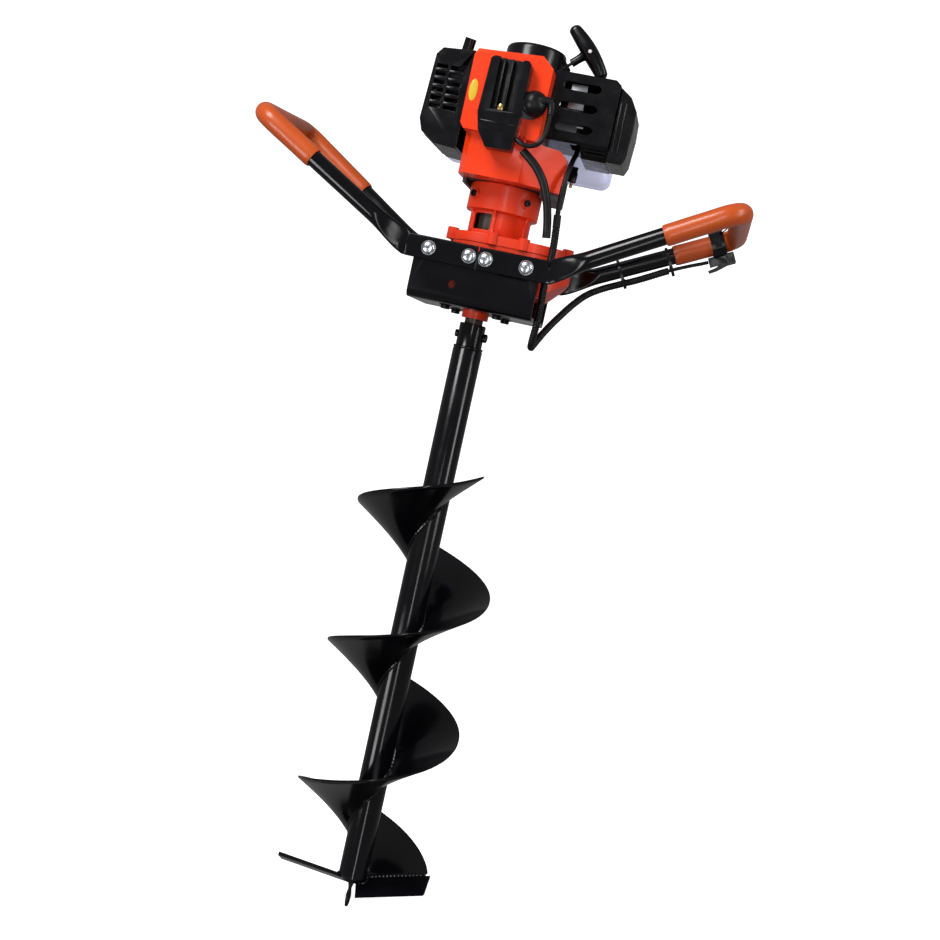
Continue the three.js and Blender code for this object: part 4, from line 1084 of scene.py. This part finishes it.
def grip_sleeve(name, loop):
    """A foam sleeve round the loop, with rounded lips and a faint unevenness."""
    outer_radius, bore, lip, sides = 13.5, 11.4, 0.9, 36
    near, far = loop["grip"]
    path = [p for p in handle_path(loop) if abs(p.x) >= (near if p.y < 0 else far)]
    frames = upright_frames(path)
    outer = []
    for i, (point, (across, up)) in enumerate(zip(path, frames)):
        end = min(i, len(path) - 1 - i)
        size = outer_radius - lip * (1 - smoothstep(end, -0.4, 1.2))
        ring = []
        for step in range(sides):
            angle = (step + 0.5) * TURN / sides
            swell = 0.10 * math.sin(3 * angle + 0.35 * i) * math.sin(0.21 * i)
            ring.append(point + (across * math.cos(angle) + up * math.sin(angle)) * (size + swell))
        outer.append(ring)
    inner = [ring_at(point, across, up, bore, bore, 2, sides) for point, (across, up) in zip(path, frames)]
    body = skin(f"{name}_foam", outer + inner[::-1], closed=True, smooth_angle=60)
    finished(body, FOAM, "grip_foam", name)


def throttle():
    softened("throttle_clamp", MOULDING, "black_plastic", 0.7, 2)
    softened("throttle_trigger", MOULDING, "black_plastic", 0.8, 3, "trigger")
    softened("kill_switch", MOULDING, "black_plastic", 0.5, 2, "stop_switch")
    strap_tails()


def strap_tails():
    """The cut ends of the two straps that hold the throttle's cables."""
    tails = []
    for spread in (0, 7):
        points = [(281, 92, 162), (284 + 0.3 * spread, 80, 173), (286 + 0.7 * spread, 69, 178),
                  (287 + spread, 59, 181 + 0.5 * spread)]
        tails.append(tube("strap_tail", points, 0.9, 10, 1))
    finished(joined("strap_tails", tails), MOULDING, "black_plastic")


# ---- control loom ----
def below_right_tube(x, out, drop):
    """A point some way out from and below the right loop's centre line."""
    y = spread_at(x)
    return (x, y + out, height_at(LOOPS["right"], x, y) - drop)


def loom():
    """Two cables in a ribbed sleeve: bare leads at both ends, a collar where the sleeve stops."""
    under_tube = ((257, 20.5), (248, 20), (237, 19.5), (222, 19.5), (204, 20.5), (186, 21))
    route = [below_right_tube(x, 1, drop) for x, drop in under_tube] + [
        (167, 88, 80), (146, 84, 69), (129, 72, 56), (116, 55, 39), (105, 36, 20), (95, 14, 0),
        (88.5, -8, -17), (85.5, -22, -27), (84.5, -31, -30), (85.4, -40, -20), (87.2, -47, -2),
        (87.6, -53, 28), (87, -55, 50), (87.6, -55, 72), (88, -54, 94), (86.6, -55, 116),
        (84.5, -58, 140), (84, -59, 163), (85, -55, 186), (86.5, -42, 207), (87, -26, 219), (87, -20, 229)]
    sleeve_start_x, sleeve_top, rib_spacing = 229, 134, 3.4
    path = curve_through(route, 0.9)
    sleeve_ends = next(i for i, p in enumerate(path) if p.z > sleeve_top and p.x < 90)
    sleeve_starts = next(i for i, p in enumerate(path) if p.x < sleeve_start_x)
    sleeve = tube("loom_sleeve", path[sleeve_starts:sleeve_ends],
                  lambda s: 4.6 + 0.28 * math.sin(s * TURN / rib_spacing), 18, smooth=False)
    to_pod = [Vector(below_right_tube(277, 1, 22)), Vector(below_right_tube(266, 1, 21.4))]
    switch_lead = tube("switch_lead", to_pod + path[:sleeve_starts + 8:4], 2.4, 14, smooth=False)
    cable = tube("loom_cable", path[sleeve_ends - 8::4], 3.2, 14, smooth=False)
    collar = tube("loom_collar", path[sleeve_ends - 14:sleeve_ends + 3:2], 4.9, 18, smooth=False)
    finished(joined("control_loom_finished", [sleeve, switch_lead, cable, collar]), RUBBER,
             "black_rubber", "control_loom")


def zip_ties():
    ties = [zip_tie(Vector(below_right_tube(x, 0.5, 7))) for x in (227, 168)]
    finished(joined("zip_ties", ties), MOULDING, "black_plastic")


def zip_tie(centre):
    """A strap round the tube and the loom, its head and its cut tail below."""
    slope = math.radians(LOOPS["right"]["slope"])
    up = Vector((-math.sin(slope), 0, math.cos(slope)))
    along_tube = Vector((math.cos(slope), 0, math.sin(slope)))
    half_width, thickness, reach_across, reach_up, sides = 1.9, 1.1, 12.6, 18.8, 48
    section = ((-half_width, 0), (half_width, 0), (half_width, thickness), (-half_width, thickness))
    rings = []
    for step in range(sides):
        angle = TURN * step / sides
        out = Y_AXIS * math.cos(angle) + up * math.sin(angle)
        reach = 1 / math.sqrt((math.cos(angle) / reach_across) ** 2 + (math.sin(angle) / reach_up) ** 2)
        rings.append([centre + out * (reach + level) + along_tube * wide for wide, level in section])
    strap = skin("strap", rings, closed=True)
    top = centre + Y_AXIS * 12.5 - up * 8
    head = tube("head", [top - along_tube * 2.6, top + along_tube * 2.6], 3.0, 8, smooth=False)
    tail = tube("tail", [top, top + Y_AXIS * 4 - up * 3, top + Y_AXIS * 9 - up * 3.4], 1.0, 6, 1)
    return joined("zip_tie", [strap, head, tail])


# ---- inside the powerhead ----
def inner_works():
    """The parts inside keep their solids; a few of them show through windows, so all get finishes."""
    looks = {
        "countershaft": STEEL, "clutch_drum": OILED, "connecting_rod": STEEL, "crank_upper": STEEL,
        "crank_lower": STEEL, "clutch_rotor": ALLOY, "cylinder": ALLOY, "piston": ALLOY,
        "flywheel": ALLOY, "spark_plug": ZINC, "recoil_pulley": MOULDING}
    for node, look in looks.items():
        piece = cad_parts[node]
        piece.data.materials.clear()
        piece.data.materials.append(look)


make_stage()
make_light()
auger_tube()
auger_flight()
drive_bolt()
cutters()
bracket()
gearbox()
engine_covers()
muffler()
intake_side()
fuel_tank()
starter()
plug_boot()
ignition_lead()
kill_wire_sleeve()
stop_wires()
for side_name, side_loop in LOOPS.items():
    handle(f"handle_{side_name}", side_loop)
    grip_sleeve(f"grip_{side_name}", side_loop)
throttle()
loom()
zip_ties()
inner_works()
